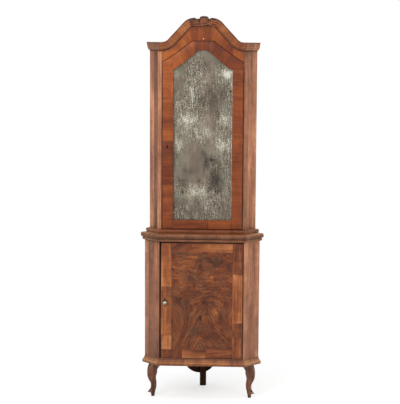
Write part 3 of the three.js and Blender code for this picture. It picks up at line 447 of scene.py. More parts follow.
# Base and dark colour, roughness, colour of the spots, shine and the place of a painted glint
METALS = {
    "iron": ("4a443e", "2a241f", 0.5, "4a2a18"),
    "escutcheon_brass": ("4a3c22", "241a0f", 0.5, "1f1810", 0.4, (-191, 511, 9)),
    "nail_head": ("e0b796", "c08c66", 0.5, "8a5a3c", 0.2),
    "key_iron": ("c4b9a4", "7f7464", 0.34, "3a3128"),
}
LOOKS = {name: wood(name, *row) for name, row in WOODS.items()}
LOOKS.update({name: metal(name, *row) for name, row in METALS.items()})
LOOKS["burl_walnut"] = burl("burl_walnut", BURR, "220f06")
LOOKS["old_mirror"] = foxed_mirror("old_mirror", SILVER)

# Slots of the looks that have another slot than their own name
SLOTS = {
    "red_walnut": "door_walnut", "cornice_walnut": "door_walnut", "crest_walnut": "carved_walnut",
    "base_walnut": "moulding_walnut", "waist_walnut": "moulding_walnut",
    "plinth_walnut": "moulding_walnut", "softwood_gap_shade": "softwood", "nail_head": "brass",
}

# Meshes

SHARP = math.radians(28)
MARGIN = 3
SCATTER = 3
VENEER_EASE = 0.25
CORE_EASE = 0.4
WIDE = 60


def clamp(value):
    return max(-1.0, min(1.0, value))


def scattered(draw):
    """A shift that gives each piece another part of the grain"""
    return Vector([draw.uniform(-SCATTER, SCATTER) for _ in range(3)])


def upright(point):
    return point


def level(point):
    return Vector((point.z, point.y, point.x))


def slanted(degrees):
    """Grain that rises towards +x by so many degrees from level"""
    turn = Matrix.Rotation(math.radians(degrees), 3, "Y")
    return lambda point: level(turn @ point)


def placed(name, data):
    """A new object in the scene"""
    made = bpy.data.objects.new(name, data)
    bpy.context.scene.collection.objects.link(made)
    return made


def write(name, bm, look, body, stands_for):
    """The finished mesh of one piece, in metres on its body"""
    for vert in bm.verts:
        vert.co = Vector((vert.co.x * MM, vert.co.y * MM + FRONT, vert.co.z * MM))
    mesh = bpy.data.meshes.new(name)
    bm.to_mesh(mesh)
    bm.free()
    mesh.shade_smooth()
    mesh.set_sharp_from_angle(angle=SHARP)
    mesh.materials.append(LOOKS[look])
    piece = placed(name, mesh)
    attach(piece, body)
    SLOTS.get(look, look)
    if stands_for:
        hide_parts(*stands_for)


def layers_of(bm):
    layers = bm.verts.layers
    return layers.float_vector.new("grain"), layers.float.new("tint"), layers.float.new("wear")


def noter(bm):
    """A function that adds a point with its grain, tint and wear"""
    layers = layers_of(bm)

    def add(point, *notes):
        vert = bm.verts.new(point)
        for layer, note in zip(layers, notes):
            vert[layer] = note
        return vert

    return add


def gap_shaded_front(near, far):
    """Painted shade from the front to half way back, where a board shows in the gap round a door"""
    return lambda point: -1.0 if point.y < (near + far) / 2 else 0.0


def unworn(point):
    return 0.0


def gap_shaded_margin(low, high):
    """Painted shade along the outer edges of a door, given by two corners, where the gap round it is, and
    plain inside them
    """
    def wear(point):
        inside = min(point.x - low.x, high.x - point.x, point.z - low.z, high.z - point.z)
        return -1.0 if inside < MARGIN / 2 else 0.0
    return wear


def gap_shaded_jamb(jamb):
    """Painted shade at the edge beside a door, where the gap is"""
    return lambda point: -1.0 if abs(point.x) < jamb + 1 else 0.0


def solid(name, corners, faces, look, body="cabinet", stands_for=(), grain=upright, tint=0.0, bevel=0.5,
          rim=2.5, wear=None):
    """A piece given by its corners and faces, with eased arrises and a rubbed rim on its wide faces.
    tint is one tone, or a function that gives the tone at a point"""
    bm = bmesh.new()
    verts = [bm.verts.new(c) for c in corners]
    for face in faces:
        bm.faces.new([verts[i] for i in face])
    bmesh.ops.recalc_face_normals(bm, faces=bm.faces)
    sharp = [e for e in bm.edges if len(e.link_faces) == 2 and e.calc_face_angle() > SHARP]
    bmesh.ops.bevel(bm, geom=sharp, offset=bevel, offset_type="OFFSET", segments=2, profile=0.5,
                    affect="EDGES", clamp_overlap=True)
    if rim:
        wide = [f for f in bm.faces if f.calc_area() > WIDE * rim * rim]
        bmesh.ops.inset_individual(bm, faces=wide, thickness=rim, use_even_offset=True)
    grain_layer, tint_layer, wear_layer = layers_of(bm)
    shift = scattered(random.Random(name))
    for vert in bm.verts:
        vert[grain_layer] = grain(vert.co) * MM + shift
        vert[tint_layer] = tint(vert.co) if callable(tint) else tint
        bend = sum(e.calc_face_angle_signed(0.0) for e in vert.link_edges if len(e.link_faces) == 2)
        vert[wear_layer] = wear(vert.co) if wear else clamp(bend)
    write(name, bm, look, body, stands_for)


def lengths(cuts):
    """The lengths between cuts, each with its number and with room for a joint at either end"""
    for k, (start, end) in enumerate(zip(cuts, cuts[1:])):
        yield k, start + (JOINT if k else 0), end - (JOINT if k < len(cuts) - 2 else 0)


def band(name, low_at, high_at, stops, near, far, look, **more):
    """An upright board between two edges, given as levels at places across the front"""
    corners, faces = [], []
    for y in (near, far):
        for x in stops:
            corners += [(x, y, low_at(x)), (x, y, high_at(x))]
    count = len(stops)
    for i in range(count):
        a, b = 2 * i, 2 * (count + i)
        if i < count - 1:
            faces += [[a, a + 2, a + 3, a + 1], [b, b + 1, b + 3, b + 2], [a, b, b + 2, a + 2],
                      [a + 1, a + 3, b + 3, b + 1]]
        if i in (0, count - 1):
            faces.append([a, a + 1, b + 1, b])
    solid(name, corners, faces, look, rim=0, **more)


def prism(name, outline, near, far, look, flat=False, **more):
    """A board over an outline of x and z points, from front to back. One that lies flat has x and y
    points, from bottom to top"""
    corners = [(a, b, end) if flat else (a, end, b) for end in (near, far) for a, b in outline]
    count = len(outline)
    faces = [list(range(count)), list(range(2 * count - 1, count - 1, -1))]
    for i in range(count):
        j = (i + 1) % count
        faces.append([i, j, j + count, i + count])
    solid(name, corners, faces, look, **more)


def rectangle(x0, x1, z0, z1):
    return [(x0, z0), (x1, z0), (x1, z1), (x0, z1)]


KEYHOLE_RADIUS = 4.2
KEYHOLE_SLOT = 1.8
KEYHOLE_DROP = 16
KEYHOLE_STEPS = 10
UPPER_KEYHOLE = (-182.2, 1331)
LOWER_KEYHOLE = (-189.5, 519)


def pierced(name, sides, hole, near, far, look, **more):
    """A board with a keyhole: sides gives x and z of two opposite corners, hole the round part's middle"""
    x0, x1, z0, z1 = sides
    hole_x, hole_z = hole
    half = [(0, -KEYHOLE_DROP), (KEYHOLE_SLOT, -KEYHOLE_DROP)]
    slot_angle = math.asin(KEYHOLE_SLOT / KEYHOLE_RADIUS)
    for i in range(KEYHOLE_STEPS + 1):
        angle = slot_angle + (math.pi - slot_angle) * i / KEYHOLE_STEPS
        half.append((KEYHOLE_RADIUS * math.sin(angle), -KEYHOLE_RADIUS * math.cos(angle)))
    left = [(hole_x - x, hole_z + z) for x, z in half]
    right = [(hole_x + x, hole_z + z) for x, z in half][1:-1]
    outer = [(x0, z0), (hole_x, z0), (x1, z0), (x1, z1), (hole_x, z1), (x0, z1)]
    points = outer + left + right
    count, rim = len(points), len(outer)
    first = list(range(rim, rim + len(left)))
    second = [first[0]] + list(range(rim + len(left), count)) + [first[-1]]
    faces = []
    for loop in ([0, 1, *first, 4, 5], [1, 2, 3, 4, *second[::-1]]):
        for triangle in tessellate_polygon([[Vector((*points[i], 0)) for i in loop]]):
            faces.append([loop[i] for i in triangle])
            faces.append([loop[i] + count for i in triangle])
    for loop in (list(range(rim)), first + second[1:-1][::-1]):
        for i, j in zip(loop, loop[1:] + loop[:1]):
            faces.append([i, j, j + count, i + count])
    corners = [(x, y, z) for y in (near, far) for x, z in points]
    solid(name, corners, faces, look, rim=0, **more)


def door_veneer(name, sides, hole, front, margin, look, **more):
    """A flat veneer on a door, pierced where the keyhole falls on it, with painted shade at the door's own
    edges
    """
    x0, x1, z0, z1 = sides
    more["bevel"] = VENEER_EASE
    if x0 < hole[0] < x1 and z0 < hole[1] < z1:
        pierced(name, sides, hole, front, front + VENEER, look, wear=unworn, **more)
    else:
        prism(name, rectangle(*sides), front, front + VENEER, look, rim=MARGIN, wear=margin, **more)


def skin(name, rings, look, body="cabinet", stands_for=()):
    """A closed skin over rings of matching points, each given with its grain, tint and wear"""
    bm = bmesh.new()
    add = noter(bm)
    rows = [[add(*point) for point in ring] for ring in rings]
    count = len(rows[0])
    for near, far in zip(rows, rows[1:]):
        for i in range(count):
            j = (i + 1) % count
            bm.faces.new([near[i], near[j], far[j], far[i]])
    bm.faces.new(rows[0][::-1])
    bm.faces.new(rows[-1])
    bmesh.ops.recalc_face_normals(bm, faces=bm.faces)
    write(name, bm, look, body, stands_for)


def plate(name, columns, rows, point_at, look, body, stands_for=()):
    """A closed board over a grid: point_at gives the place, grain, tint and wear of each point of its
    near side (0) and its far side (1)"""
    bm = bmesh.new()
    add = noter(bm)
    near, far = ([[add(*point_at(i, j, side)) for j in range(rows + 1)] for i in range(columns + 1)]
                 for side in (0, 1))
    for i in range(columns):
        for j in range(rows):
            bm.faces.new([near[i][j], near[i + 1][j], near[i + 1][j + 1], near[i][j + 1]])
            bm.faces.new([far[i][j], far[i][j + 1], far[i + 1][j + 1], far[i + 1][j]])
        for j in (0, rows):
            bm.faces.new([near[i][j], far[i][j], far[i + 1][j], near[i + 1][j]])
    for i in (0, columns):
        for j in range(rows):
            bm.faces.new([near[i][j], far[i][j], far[i][j + 1], near[i][j + 1]])
    bmesh.ops.recalc_face_normals(bm, faces=bm.faces)
    write(name, bm, look, body, stands_for)


# Moulding sections: x outwards from the board, y along it


def curve(start, control, end, steps=6):
    """A quadratic curve without its first point"""
    made = []
    for i in range(1, steps + 1):
        t = i / steps
        made.append(tuple((1 - t) ** 2 * a + 2 * t * (1 - t) * b + t * t * c
                          for a, b, c in zip(start, control, end)))
    return made


def eased(points, radius=0.7):
    """The same closed section with its sharp corners eased"""
    made = []
    for i, point in enumerate(points):
        here = Vector(point)
        back = Vector(points[i - 1]) - here
        on = Vector(points[(i + 1) % len(points)]) - here
        if back.angle(-on) < SHARP:
            made.append(here)
            continue
        near = here + back.normalized() * min(radius, back.length / 2.5)
        far = here + on.normalized() * min(radius, on.length / 2.5)
        made += [near, (near + far) / 4 + here / 2, far]
    return made


def bends(points):
    """How far each point of a closed section turns, positive where it stands out"""
    turned = []
    area = sum(a.x * b.y - b.x * a.y for a, b in zip(points, points[1:] + points[:1]))
    for i, point in enumerate(points):
        back = point - points[i - 1]
        on = points[(i + 1) % len(points)] - point
        turned.append(math.copysign(1, area) * math.atan2(back.x * on.y - back.y * on.x, back.dot(on)))
    count = len(points)
    return [clamp(0.8 * (turned[i - 1] + turned[i] + turned[(i + 1) % count])) for i in range(count)]


PLINTH = (18.4, 12, 17, 15.2)


def plinth_section():
    reach, fascia, round_top, lean = PLINTH
    height = PLINTH_TOP - LEG_TOP
    return eased([
        (-SIDE_THICKNESS, 0), (reach, 0), (reach, fascia),
        *curve((reach, fascia), (reach, round_top), (lean, round_top), 5),
        *curve((lean, round_top), (lean / 2, round_top), (0, height), 8),
        (-SIDE_THICKNESS, height),
    ])


def waist_section():
    nosing, bead, neck, bead_top, neck_top, bead_face = 28.8, 18, 13, 15.6, 19.2, 5
    height = WAIST_TOP - WAIST_LOW
    middle = (neck_top + height) / 2
    shoulder = (neck + nosing) / 2
    return eased([
        (-SIDE_THICKNESS, 0), (0, 0),
        *curve((0, 0), (bead, 0), (bead, bead_top - bead_face), 7), (bead, bead_top),
        (neck, bead_top), (neck, neck_top), (shoulder, neck_top),
        *curve((shoulder, neck_top), (nosing, neck_top), (nosing, middle), 6),
        *curve((nosing, middle), (nosing, height), (shoulder, height), 6),
        (-SIDE_THICKNESS, height),
    ])


def base_section():
    reach, fillet, fillet_top, round_depth = 27.5, 22, 3, 11
    height = BASE_TOP - WAIST_TOP
    middle = (fillet_top + height) / 2
    return eased([
        (-SIDE_THICKNESS, 0), (fillet, 0), (fillet, fillet_top),
        *curve((fillet, fillet_top), (reach, fillet_top), (reach, middle), 5),
        *curve((reach, middle), (reach, height), (reach - round_depth, height), 6),
        (-SIDE_THICKNESS, height),
    ])


CORNICE_REACH = 23
CORNICE_FILLET = 4
CYMA = 23
CORNICE_STEP = 18
OVOLO_REACH = 15.5
OVOLO_HEIGHT = 12
CORNICE_FOOT = 3
CORNICE_QUIRK = 8
CYMA_END = CORNICE_FILLET + CYMA
CYMA_TOP = CORNICE_REACH - CORNICE_FILLET / 2


def cornice_section(back):
    """The cornice, with y measured down from its top edge"""
    ovolo_end = CYMA_END + OVOLO_HEIGHT
    middle = CORNICE_FILLET + CYMA / 2
    waist = (CYMA_TOP + CORNICE_STEP) / 2
    soffit = (OVOLO_REACH + CORNICE_FOOT) / 2
    return eased([
        (back, 0), (CORNICE_REACH, 0), (CORNICE_REACH, CORNICE_FILLET), (CYMA_TOP, CORNICE_FILLET),
        *curve((CYMA_TOP, CORNICE_FILLET), (CYMA_TOP, middle), (waist, middle)),
        *curve((waist, middle), (CORNICE_STEP, middle), (CORNICE_STEP, CYMA_END)),
        (OVOLO_REACH, CYMA_END),
        *curve((OVOLO_REACH, CYMA_END), (OVOLO_REACH, (CYMA_END + ovolo_end) / 2), (soffit, ovolo_end)),
        (CORNICE_FOOT, ovolo_end), (CORNICE_FOOT, CORNICE_HEIGHT), (back, CORNICE_HEIGHT),
    ])


RING_STEP = 5
JOINT = 0.18
NICK = 1.6


def stations(length, joints):
    """Places along a run, close together at its veneer joints, each with the number of its length"""
    cuts = sorted(joints)
    places = [(0.0, 0)]
    steps = max(2, round(length / RING_STEP))
    for i in range(1, steps):
        place = length * i / steps
        if all(abs(place - joint) > 3 * JOINT for joint in cuts):
            places.append((place, sum(place > joint for joint in cuts)))
    for k, joint in enumerate(cuts):
        places += [(joint - JOINT, k), (joint, -1), (joint + JOINT, k + 1)]
    places.append((length, len(cuts)))
    return sorted(places)


def smooth(value, low, high):
    t = max(0.0, min(1.0, (value - low) / (high - low)))
    return t * t * (3 - 2 * t)


def hump(value, start, full, fade, end):
    """Up from start to full, and down again from fade to end"""
    return smooth(value, start, full) * (1 - smooth(value, fade, end))


def dome(away, radius):
    """The share of a half circle's height that is left, so far from its middle"""
    return math.sqrt(max(0.0, 1 - (away / radius) ** 2))


def line_at(line, x):
    """The height of a drawn line at x"""
    for (x0, z0), (x1, z1) in zip(line, line[1:]):
        if x <= x1:
            return z0 + (z1 - z0) * smooth(x, x0, x1)
    return line[-1][1]


def walk_along(points):
    """The way along a line at each of its points"""
    walk = [0.0]
    for a, b in zip(points, points[1:]):
        walk.append(walk[-1] + (b - a).length)
    return walk


NO_PAINTED_SHADING = ((0, 0), (1, 0))
NICK_SCALE = 0.09
NICK_START = 0.25
WAVE = 0.25
WAVE_SCALE = 0.03
FILLET_DARK_AND_QUIRK_SHADOW = -0.75
JOINT_DIRT = -0.8


def run_skin(name, section, length, ring_at, joints, look, tints, node, painted_shading=NO_PAINTED_SHADING):
    """A cross-grained moulding: ring_at(share) gives a function from a section point to its place.
    The last argument is the line of painted light and shade over its height. A cornice is darkened along its
    top fillet, and has painted shadow in the quirk at its foot"""
    bend = bends(section)
    # The cornice is darkened along its top fillet and has painted shadow in the quirk at its foot
    if name.startswith("cornice"):
        bend = [FILLET_DARK_AND_QUIRK_SHADOW if y < CORNICE_FILLET + 1 or y > CORNICE_HEIGHT - CORNICE_QUIRK else turn
                for (_, y), turn in zip(section, bend)]
    walk = walk_along(section)
    draw = random.Random(name)
    shift = [scattered(draw) for _ in range(len(joints) + 1)]
    rings = []
    for place, part in stations(length, joints):
        at = ring_at(place / length)
        ring = []
        for (x, y), turn, run in zip(section, bend, walk):
            sunk = JOINT if part < 0 and x > 0 else 0.0
            spot = at(x, y)
            nick = max(0.0, noise.noise(spot * NICK_SCALE) - NICK_START) * NICK * max(0.0, turn)
            wave = WAVE * (1 + noise.noise(spot * WAVE_SCALE)) if x > 0 else 0.0
            grain = Vector((place, 0, run)) * MM + shift[max(part, 0)]
            # The tone added by the section's height is painted light and shade
            tint = tints[max(part, 0) % len(tints)] + line_at(painted_shading, y)
            ring.append((at(x - sunk - nick - wave, y), grain, tint, JOINT_DIRT if part < 0 else turn))
        rings.append(ring)
    skin(name, rings, look, stands_for=[node])


OUTWARD = [Vector((-SLANT, -SLANT)), Vector((-MITRE, -1)), Vector((MITRE, -1)), Vector((SLANT, -SLANT))]


def mitred(name, node, level_stage, which, section, bottom, up, look, joints, tints, painted_shading=NO_PAINTED_SHADING):
    """One straight run of a moulding: 0 is the left return, 1 the front and 2 the right return"""
    half, front, run, _ = level_stage
    corners = [Vector((-half - run, front + run)), Vector((-half, front)), Vector((half, front)),
               Vector((half + run, front + run))]
    start, end = corners[which], corners[which + 1]
    along = (end - start).normalized()
    start = start + along * (HAIRLINE if which > 0 else 0)
    end = end - along * (HAIRLINE if which < 2 else 0)
    length = (end - start).length

    def ring_at(share):
        def at(x, y):
            spot = (start + OUTWARD[which] * x).lerp(end + OUTWARD[which + 1] * x, share)
            return Vector((spot.x, spot.y, bottom + up * y))
        return at

    run_skin(name, section, length, ring_at, [length * s for s in joints], look, tints, node, painted_shading)


# Each moulding's tints per length on the left, front and right, and the line of painted light and shade over
# its height
MOULDINGS = (
    # The plinth's right return is tinted lighter than its left: painted light where the key lamp from the
    # left leaves it in shade
    ("plinth", "plinth", LOWER, plinth_section(), LEG_TOP,
     ((0.34, 0.24), (0.22, 0.16, 0.28, 0.2, 0.26, 0.14), (0.5, 0.44)),
     ((0, -0.5), (6, -0.45), (10, -0.3), (13, 0.12), (17, 0.28), (21, 0.08), (27, -0.03), (31, -0.42),
      (34, -0.35), (38, -0.08), (55, 0.0))),
    ("waist", "waist_moulding", LOWER, waist_section(), WAIST_LOW,
     ((0.04, -0.06), (0.08, 0.14, 0.04, 0.1, 0.12, 0.08), (0.06, 0.14)),
     ((19, 0.0), (20, -0.3), (27, -0.22), (33, 0.0))),
    ("base", "base_moulding", UPPER, base_section(), WAIST_TOP,
     ((0.06, 0.02), (0.1, 0.05, -0.04, 0.0, 0.03, -0.06), (0.04, 0.0)),
     ((0, 0.5), (6, 0.45), (10, 0.12), (14, -0.12), (20, -0.15))),
)
RUNS = (("left", [0.52]), ("front", [0.14, 0.31, 0.47, 0.66, 0.83]), ("right", [0.52]))
for kind, node, level_stage, section, bottom, tints, painted_shading in MOULDINGS:
    for number, (run_name, joints) in enumerate(RUNS):
        look = f"{kind}_walnut" if run_name == "front" else "moulding_walnut"
        mitred(f"{kind}_{run_name}_moulding", f"{node}_{run_name}", level_stage, number, section, bottom, 1,
               look, joints, tints[number], painted_shading)
for side_name, number, tints in (("left", 0, (-0.22, -0.14)), ("right", 2, (-0.02, 0.06))):
    mitred(f"cornice_{side_name}_return", f"cornice_return_{side_name}", UPPER, number, cornice_section(FIT),
           CORNICE_TOP, -1, "cant_walnut", [0.55], tints)


# Arched cornice: from the carved crest down the slope to the mitre at the arris
CREST_HALF = 77.4
ARCH_JOINTS = (0.2, 0.43, 0.66, 0.86)
ARCH_TINTS = {"left": (0.22, 0.26, 0.14, 0.16, -0.04), "right": (0.0, 0.1, 0.02, 0.0, -0.08)}
ARCH_START = CREST_HALF + 0.2


def path_of(points):
    """A place and an outward direction at each share of a drawn line, and its length"""
    line = [Vector(p) for p in points]
    walk = walk_along(line)

    def at(share):
        goal = share * walk[-1]
        k = next((i for i in range(1, len(walk)) if walk[i] >= goal - MM), len(walk) - 1)
        t = (goal - walk[k - 1]) / max(walk[k] - walk[k - 1], MM)
        spot = line[k - 1].lerp(line[k], t)
        before = line[max(k - 2, 0)]
        after = line[min(k + 1, len(line) - 1)]
        along = (line[k] - line[k - 1]).normalized().lerp((after - before).normalized(), 0.5).normalized()
        return spot, Vector((-along.y, along.x))

    return at, walk[-1]


def arched_cornice(side, side_name):
    edge = [p for p in PEDIMENT_EDGE if p[0] > CREST_HALF + 1]
    at_share, length = path_of([(ARCH_START, height_on(PEDIMENT_EDGE, ARCH_START)), *edge])

    def ring_at(share):
        spot, outward = at_share(share)

        def at(x, y):
            reach = spot.x - outward.x * y
            if share > 1 - MM:
                reach += MITRE * x - HAIRLINE
            return Vector((side * reach, UPPER.front - x, spot.y - outward.y * y))
        return at

    run_skin(f"cornice_{side_name}_arch", cornice_section(0), length, ring_at,
             [length * s for s in ARCH_JOINTS], "cornice_walnut", ARCH_TINTS[side_name],
             f"cornice_arch_{side_name}")


for side, side_name in SIDES:
    arched_cornice(side, side_name)


# Carved crest: a low relief of two fans round volute eyes, a cabochon with a dark cap and a bead
CREST_STEP = 1.0
VOLUTE_X = 46.8
VOLUTE_RADIUS = 17
VOLUTE_Z = CROWN + 1.5 - VOLUTE_RADIUS
CABOCHON_X = 5
CABOCHON_HALF = 23
CABOCHON_RISE = 37
CAP_DEPTH = 9
CAP_RISE = 9.5
VALLEY = 4
EYE_X = 44
EYE_Z = CROWN - 26
EDGE_TOP = height_on(PEDIMENT_EDGE, CREST_HALF)


def cornice_reach(drop):
    """How far the plain cornice stands out, so far below its top edge"""
    if drop < CORNICE_FILLET:
        return CORNICE_REACH
    if drop < CYMA_END:
        return CYMA_TOP - (CYMA_TOP - CORNICE_STEP) * smooth(drop, CORNICE_FILLET, CYMA_END)
    if drop < CYMA_END + OVOLO_HEIGHT:
        share = (drop - CYMA_END) / OVOLO_HEIGHT
        return OVOLO_REACH - (OVOLO_REACH - CORNICE_FOOT) / 2 * share * share
    return CORNICE_FOOT


def crest_top(x):
    """The outline of the crest along its top"""
    valley = VALLEY * (1 - smooth(abs(x), VOLUTE_X - 8, VOLUTE_X))
    tops = [min(height_on(PEDIMENT_EDGE, x), CROWN - valley)]
    if abs(x - CABOCHON_X) < CABOCHON_HALF:
        tops.append(CREST_TOP - CAP_RISE * (1 - dome(x - CABOCHON_X, CABOCHON_HALF)))
    away = abs(x) - VOLUTE_X
    if abs(away) < VOLUTE_RADIUS:
        tops.append(VOLUTE_Z + math.sqrt(VOLUTE_RADIUS ** 2 - away ** 2))
    return max(tops)


# Depth and number of a fan's flutes on the left and on the right
FANS = ((2.6, 8), (6.0, 11))
FLUTE_TWIST = 0.06
EYE_RADIUS = 6.0
EYE_RISE = 4.0
CURL_RADIUS = 8.0
CURL_RISE = 1.6
# The bead under the carving, as heights over the crown across the front, and the quirk below it
BEAD_LINE = ((-80, -48), (-58, -36), (-18, -37.5), (8, -34), (28, -30), (46, -36), (62, -46), (80, -58))


def fan_relief(x, z):
    """A leaf of long flutes that spreads from a volute eye, deeper and more open on the right"""
    depth, count = FANS[x > 0]
    dx, dz = abs(x) - EYE_X, z - EYE_Z
    away = math.hypot(dx, dz)
    angle = math.atan2(dz, dx)
    flute = math.sqrt(0.5 + 0.5 * math.cos(angle * count + away * FLUTE_TWIST))
    relief = depth * (flute - 0.6) * hump(angle, -1.2, -0.8, 2.5, 3.0) * hump(away, 5.0, 8.0, 24.0, 30.0)
    relief += EYE_RISE * dome(away, EYE_RADIUS)
    curl = abs(away - CURL_RADIUS - CURL_RISE * angle / math.pi)
    return relief + CURL_RISE * max(0.0, 1 - curl / 2.0)


DOME_BASE = 16.5
DOME_RISE = 5.5
CAP_REACH = 5.0
LOBE_RISE = 0.7
LOBE_TURN = 0.62


def cabochon_relief(x, z):
    """The middle boss: a lobed dome under an overhanging cap, or zero beside it"""
    cx, drop = x - CABOCHON_X, CREST_TOP - z
    half = CABOCHON_HALF if drop < CAP_DEPTH else CABOCHON_HALF * (0.92 - 0.004 * drop)
    inside = 1 - (cx / half) ** 4 - (drop / CABOCHON_RISE) ** 6
    if inside <= 0:
        return 0.0
    lobes = LOBE_RISE * math.cos(cx * LOBE_TURN) * smooth(drop, CAP_DEPTH, CAP_DEPTH + 4)
    cap = CAP_REACH * (1 - smooth(drop, CAP_DEPTH - 1.5, CAP_DEPTH))
    return DOME_BASE + DOME_RISE * math.sqrt(inside) + (lobes + cap) * inside ** 0.25


BEAD_HALF, BEAD_BASE, BEAD_RISE = 2.8, 14.0, 3.0
QUIRK_DROP, QUIRK_HALF, QUIRK_DEPTH = 5.5, 3.0, 4.0
RECESS_DEPTH = 6.0
RELIEF_LOW, RELIEF_HIGH = 1.5, 29.5


def crest_relief(x, z):
    """How far the carving stands out from the frieze"""
    lean = 1 - 0.32 * smooth(abs(x), 30, 96)
    drop = max((min(height_on(PEDIMENT_EDGE, x), CROWN) - z) * lean, 0.0)
    reach = cornice_reach(drop)
    if drop < CYMA_END + 3 and abs(x - CABOCHON_X) > 16:
        reach += fan_relief(x, z)
    away = abs(x - CABOCHON_X)
    reach -= RECESS_DEPTH * hump(away, 17, 23, 26, 33) * smooth(z, CROWN - 30, CROWN - 20)
    reach = max(reach, cabochon_relief(x, z))
    bead_z = CROWN + line_at(BEAD_LINE, x)
    bead = dome(z - bead_z, BEAD_HALF)
    if bead:
        reach = max(reach, BEAD_BASE) + BEAD_RISE * bead
    reach -= QUIRK_DEPTH * dome(z - bead_z + QUIRK_DROP, QUIRK_HALF)
    return max(RELIEF_LOW, min(reach, RELIEF_HIGH))


CAP_TINT = -0.9
BOSS_TINT = -0.04


def crest_tint(x, z):
    """Dark on the boss's cap and along the tops of the volutes, light on the boss and the right leaf"""
    away = abs(x - CABOCHON_X)
    if z > CREST_TOP - CAP_DEPTH and away < CABOCHON_HALF:
        return CAP_TINT
    if away < CABOCHON_HALF * 0.84:
        return BOSS_TINT
    dark = smooth(z, CROWN - 12, CROWN - 6) * (1 - smooth(abs(x), 60, 72))
    light = 0.08 + 0.14 * max(0.0, min(fan_relief(x, z), 1.4)) if x > 0 else -0.06
    return light - 0.55 * dark


CREST_ROWS = 54
CREST_TAPER = 0.0066
NEIGHBOUR = 1.6
RELIEF_WEAR = 0.4
TOP_EDGE = 7
ROUNDING = 0.45


def crest():
    """The carving's front, over a flat back in the frieze's plane"""
    foot = CROWN - CORNICE_HEIGHT
    columns = round(2 * CREST_HALF / CREST_STEP)

    def point_at(i, j, side):
        across = -CREST_HALF + 2 * CREST_HALF * i / columns
        top = crest_top(across)
        z = foot + (top - foot) * j / CREST_ROWS
        x = across * (1 - CREST_TAPER * max(EDGE_TOP - z, 0.0))
        if side:
            return (x, UPPER.front, z), Vector((x, 0, z)) * MM
        reach = crest_relief(x, z)
        rounding = (1 - smooth(abs(x), 56, 68)) * smooth(j, CREST_ROWS - 4, CREST_ROWS + 0.5)
        around = [crest_relief(x + a * NEIGHBOUR, z + b * NEIGHBOUR)
                  for a, b in ((1, 0), (-1, 0), (0, 1), (0, -1))]
        relief = clamp((4 * reach - sum(around)) * RELIEF_WEAR)
        wear = min(relief, 0.0) - 0.3 if z > top - TOP_EDGE else relief
        spot = (x, UPPER.front - reach * (1 - ROUNDING * rounding), z)
        return spot, Vector((x, reach, z)) * MM, crest_tint(x, z), wear

    plate("crest_carving", columns, CREST_ROWS, point_at, "crest_walnut", "cabinet", ["crest"])


crest()

# Cabriole legs: shares of the leg's height, as level, centre, reach outwards, reach inwards, half width
LEG_SHARES = [
    (0, -0.044, 0.037, 0.052, 0.043),
    (0.078, -0.044, 0.054, 0.068, 0.055),
    (0.102, -0.044, 0.07, 0.076, 0.06),
    (0.126, -0.044, 0.11, 0.082, 0.064),
    (0.157, -0.044, 0.2, 0.09, 0.064),
    (0.175, -0.044, 0.185, 0.094, 0.068),
    (0.211, -0.055, 0.128, 0.094, 0.072),
    (0.259, -0.072, 0.087, 0.094, 0.073),
    (0.325, -0.08, 0.087, 0.092, 0.076),
    (0.392, -0.083, 0.102, 0.094, 0.081),
    (0.482, -0.055, 0.136, 0.106, 0.087),
    (0.578, -0.017, 0.151, 0.138, 0.099),
    (0.639, -0.011, 0.161, 0.17, 0.105),
    (0.711, -0.006, 0.162, 0.2, 0.112),
    (0.789, 0, 0.156, 0.216, 0.112),
    (0.886, 0, 0.127, 0.33, 0.112),
    (0.958, 0, 0.079, 0.45, 0.107),
    (1, 0, 0.057, 0.51, 0.107),
]
LEG_SIDES = 40
LEG_RINGS = 110


def spline_at(table, level_share):
    """A row of the table at any level, on a smooth curve through its rows"""
    k = next((i for i in range(1, len(table)) if table[i][0] >= level_share), len(table) - 1)
    rows = [table[max(k - 2, 0)], table[k - 1], table[k], table[min(k + 1, len(table) - 1)]]
    span_k = max(rows[2][0] - rows[1][0], 1e-6)
    t = (level_share - rows[1][0]) / span_k
    made = []
    for c in range(1, len(table[0])):
        slope_in = (rows[2][c] - rows[0][c]) / max(rows[2][0] - rows[0][0], 1e-6) * span_k
        slope_out = (rows[3][c] - rows[1][c]) / max(rows[3][0] - rows[1][0], 1e-6) * span_k
        value = ((2 * t ** 3 - 3 * t ** 2 + 1) * rows[1][c] + (t ** 3 - 2 * t ** 2 + t) * slope_in
                 + (3 * t ** 2 - 2 * t ** 3) * rows[2][c] + (t ** 3 - t ** 2) * slope_out)
        made.append(value)
    return made


BLOCK_HALF = 17
BLOCK_LOW = LEG_TOP * 0.9
BLOCK_TOP = PLINTH_TOP - 18
LEG_SHIFT = 300
TOE_POINT = 0.9
ARRIS_EASE = 0.06
TOE_GROOVE = 1.5
# The right leg is tinted lighter than the left: painted light, as the key lamp comes from the left
LEG_TINTS = {1: 0.12, -1: 0.02}


def leg_wear(share, c, groove):
    """Dark at the floor, dirty in the groove behind the toe, rubbed on the toe, and lighter on the knee,
    partly wear and partly painted highlight
    """
    if share < 0.07:
        return -1.0
    if 0.14 < share < 0.185 and c > 0.5:
        return 0.8
    # The knee's lightness is partly painted highlight
    if 0.7 < share < 0.9 and c > 0.2:
        return 0.45 * c
    return -0.7 if groove > 0.3 else 0.0


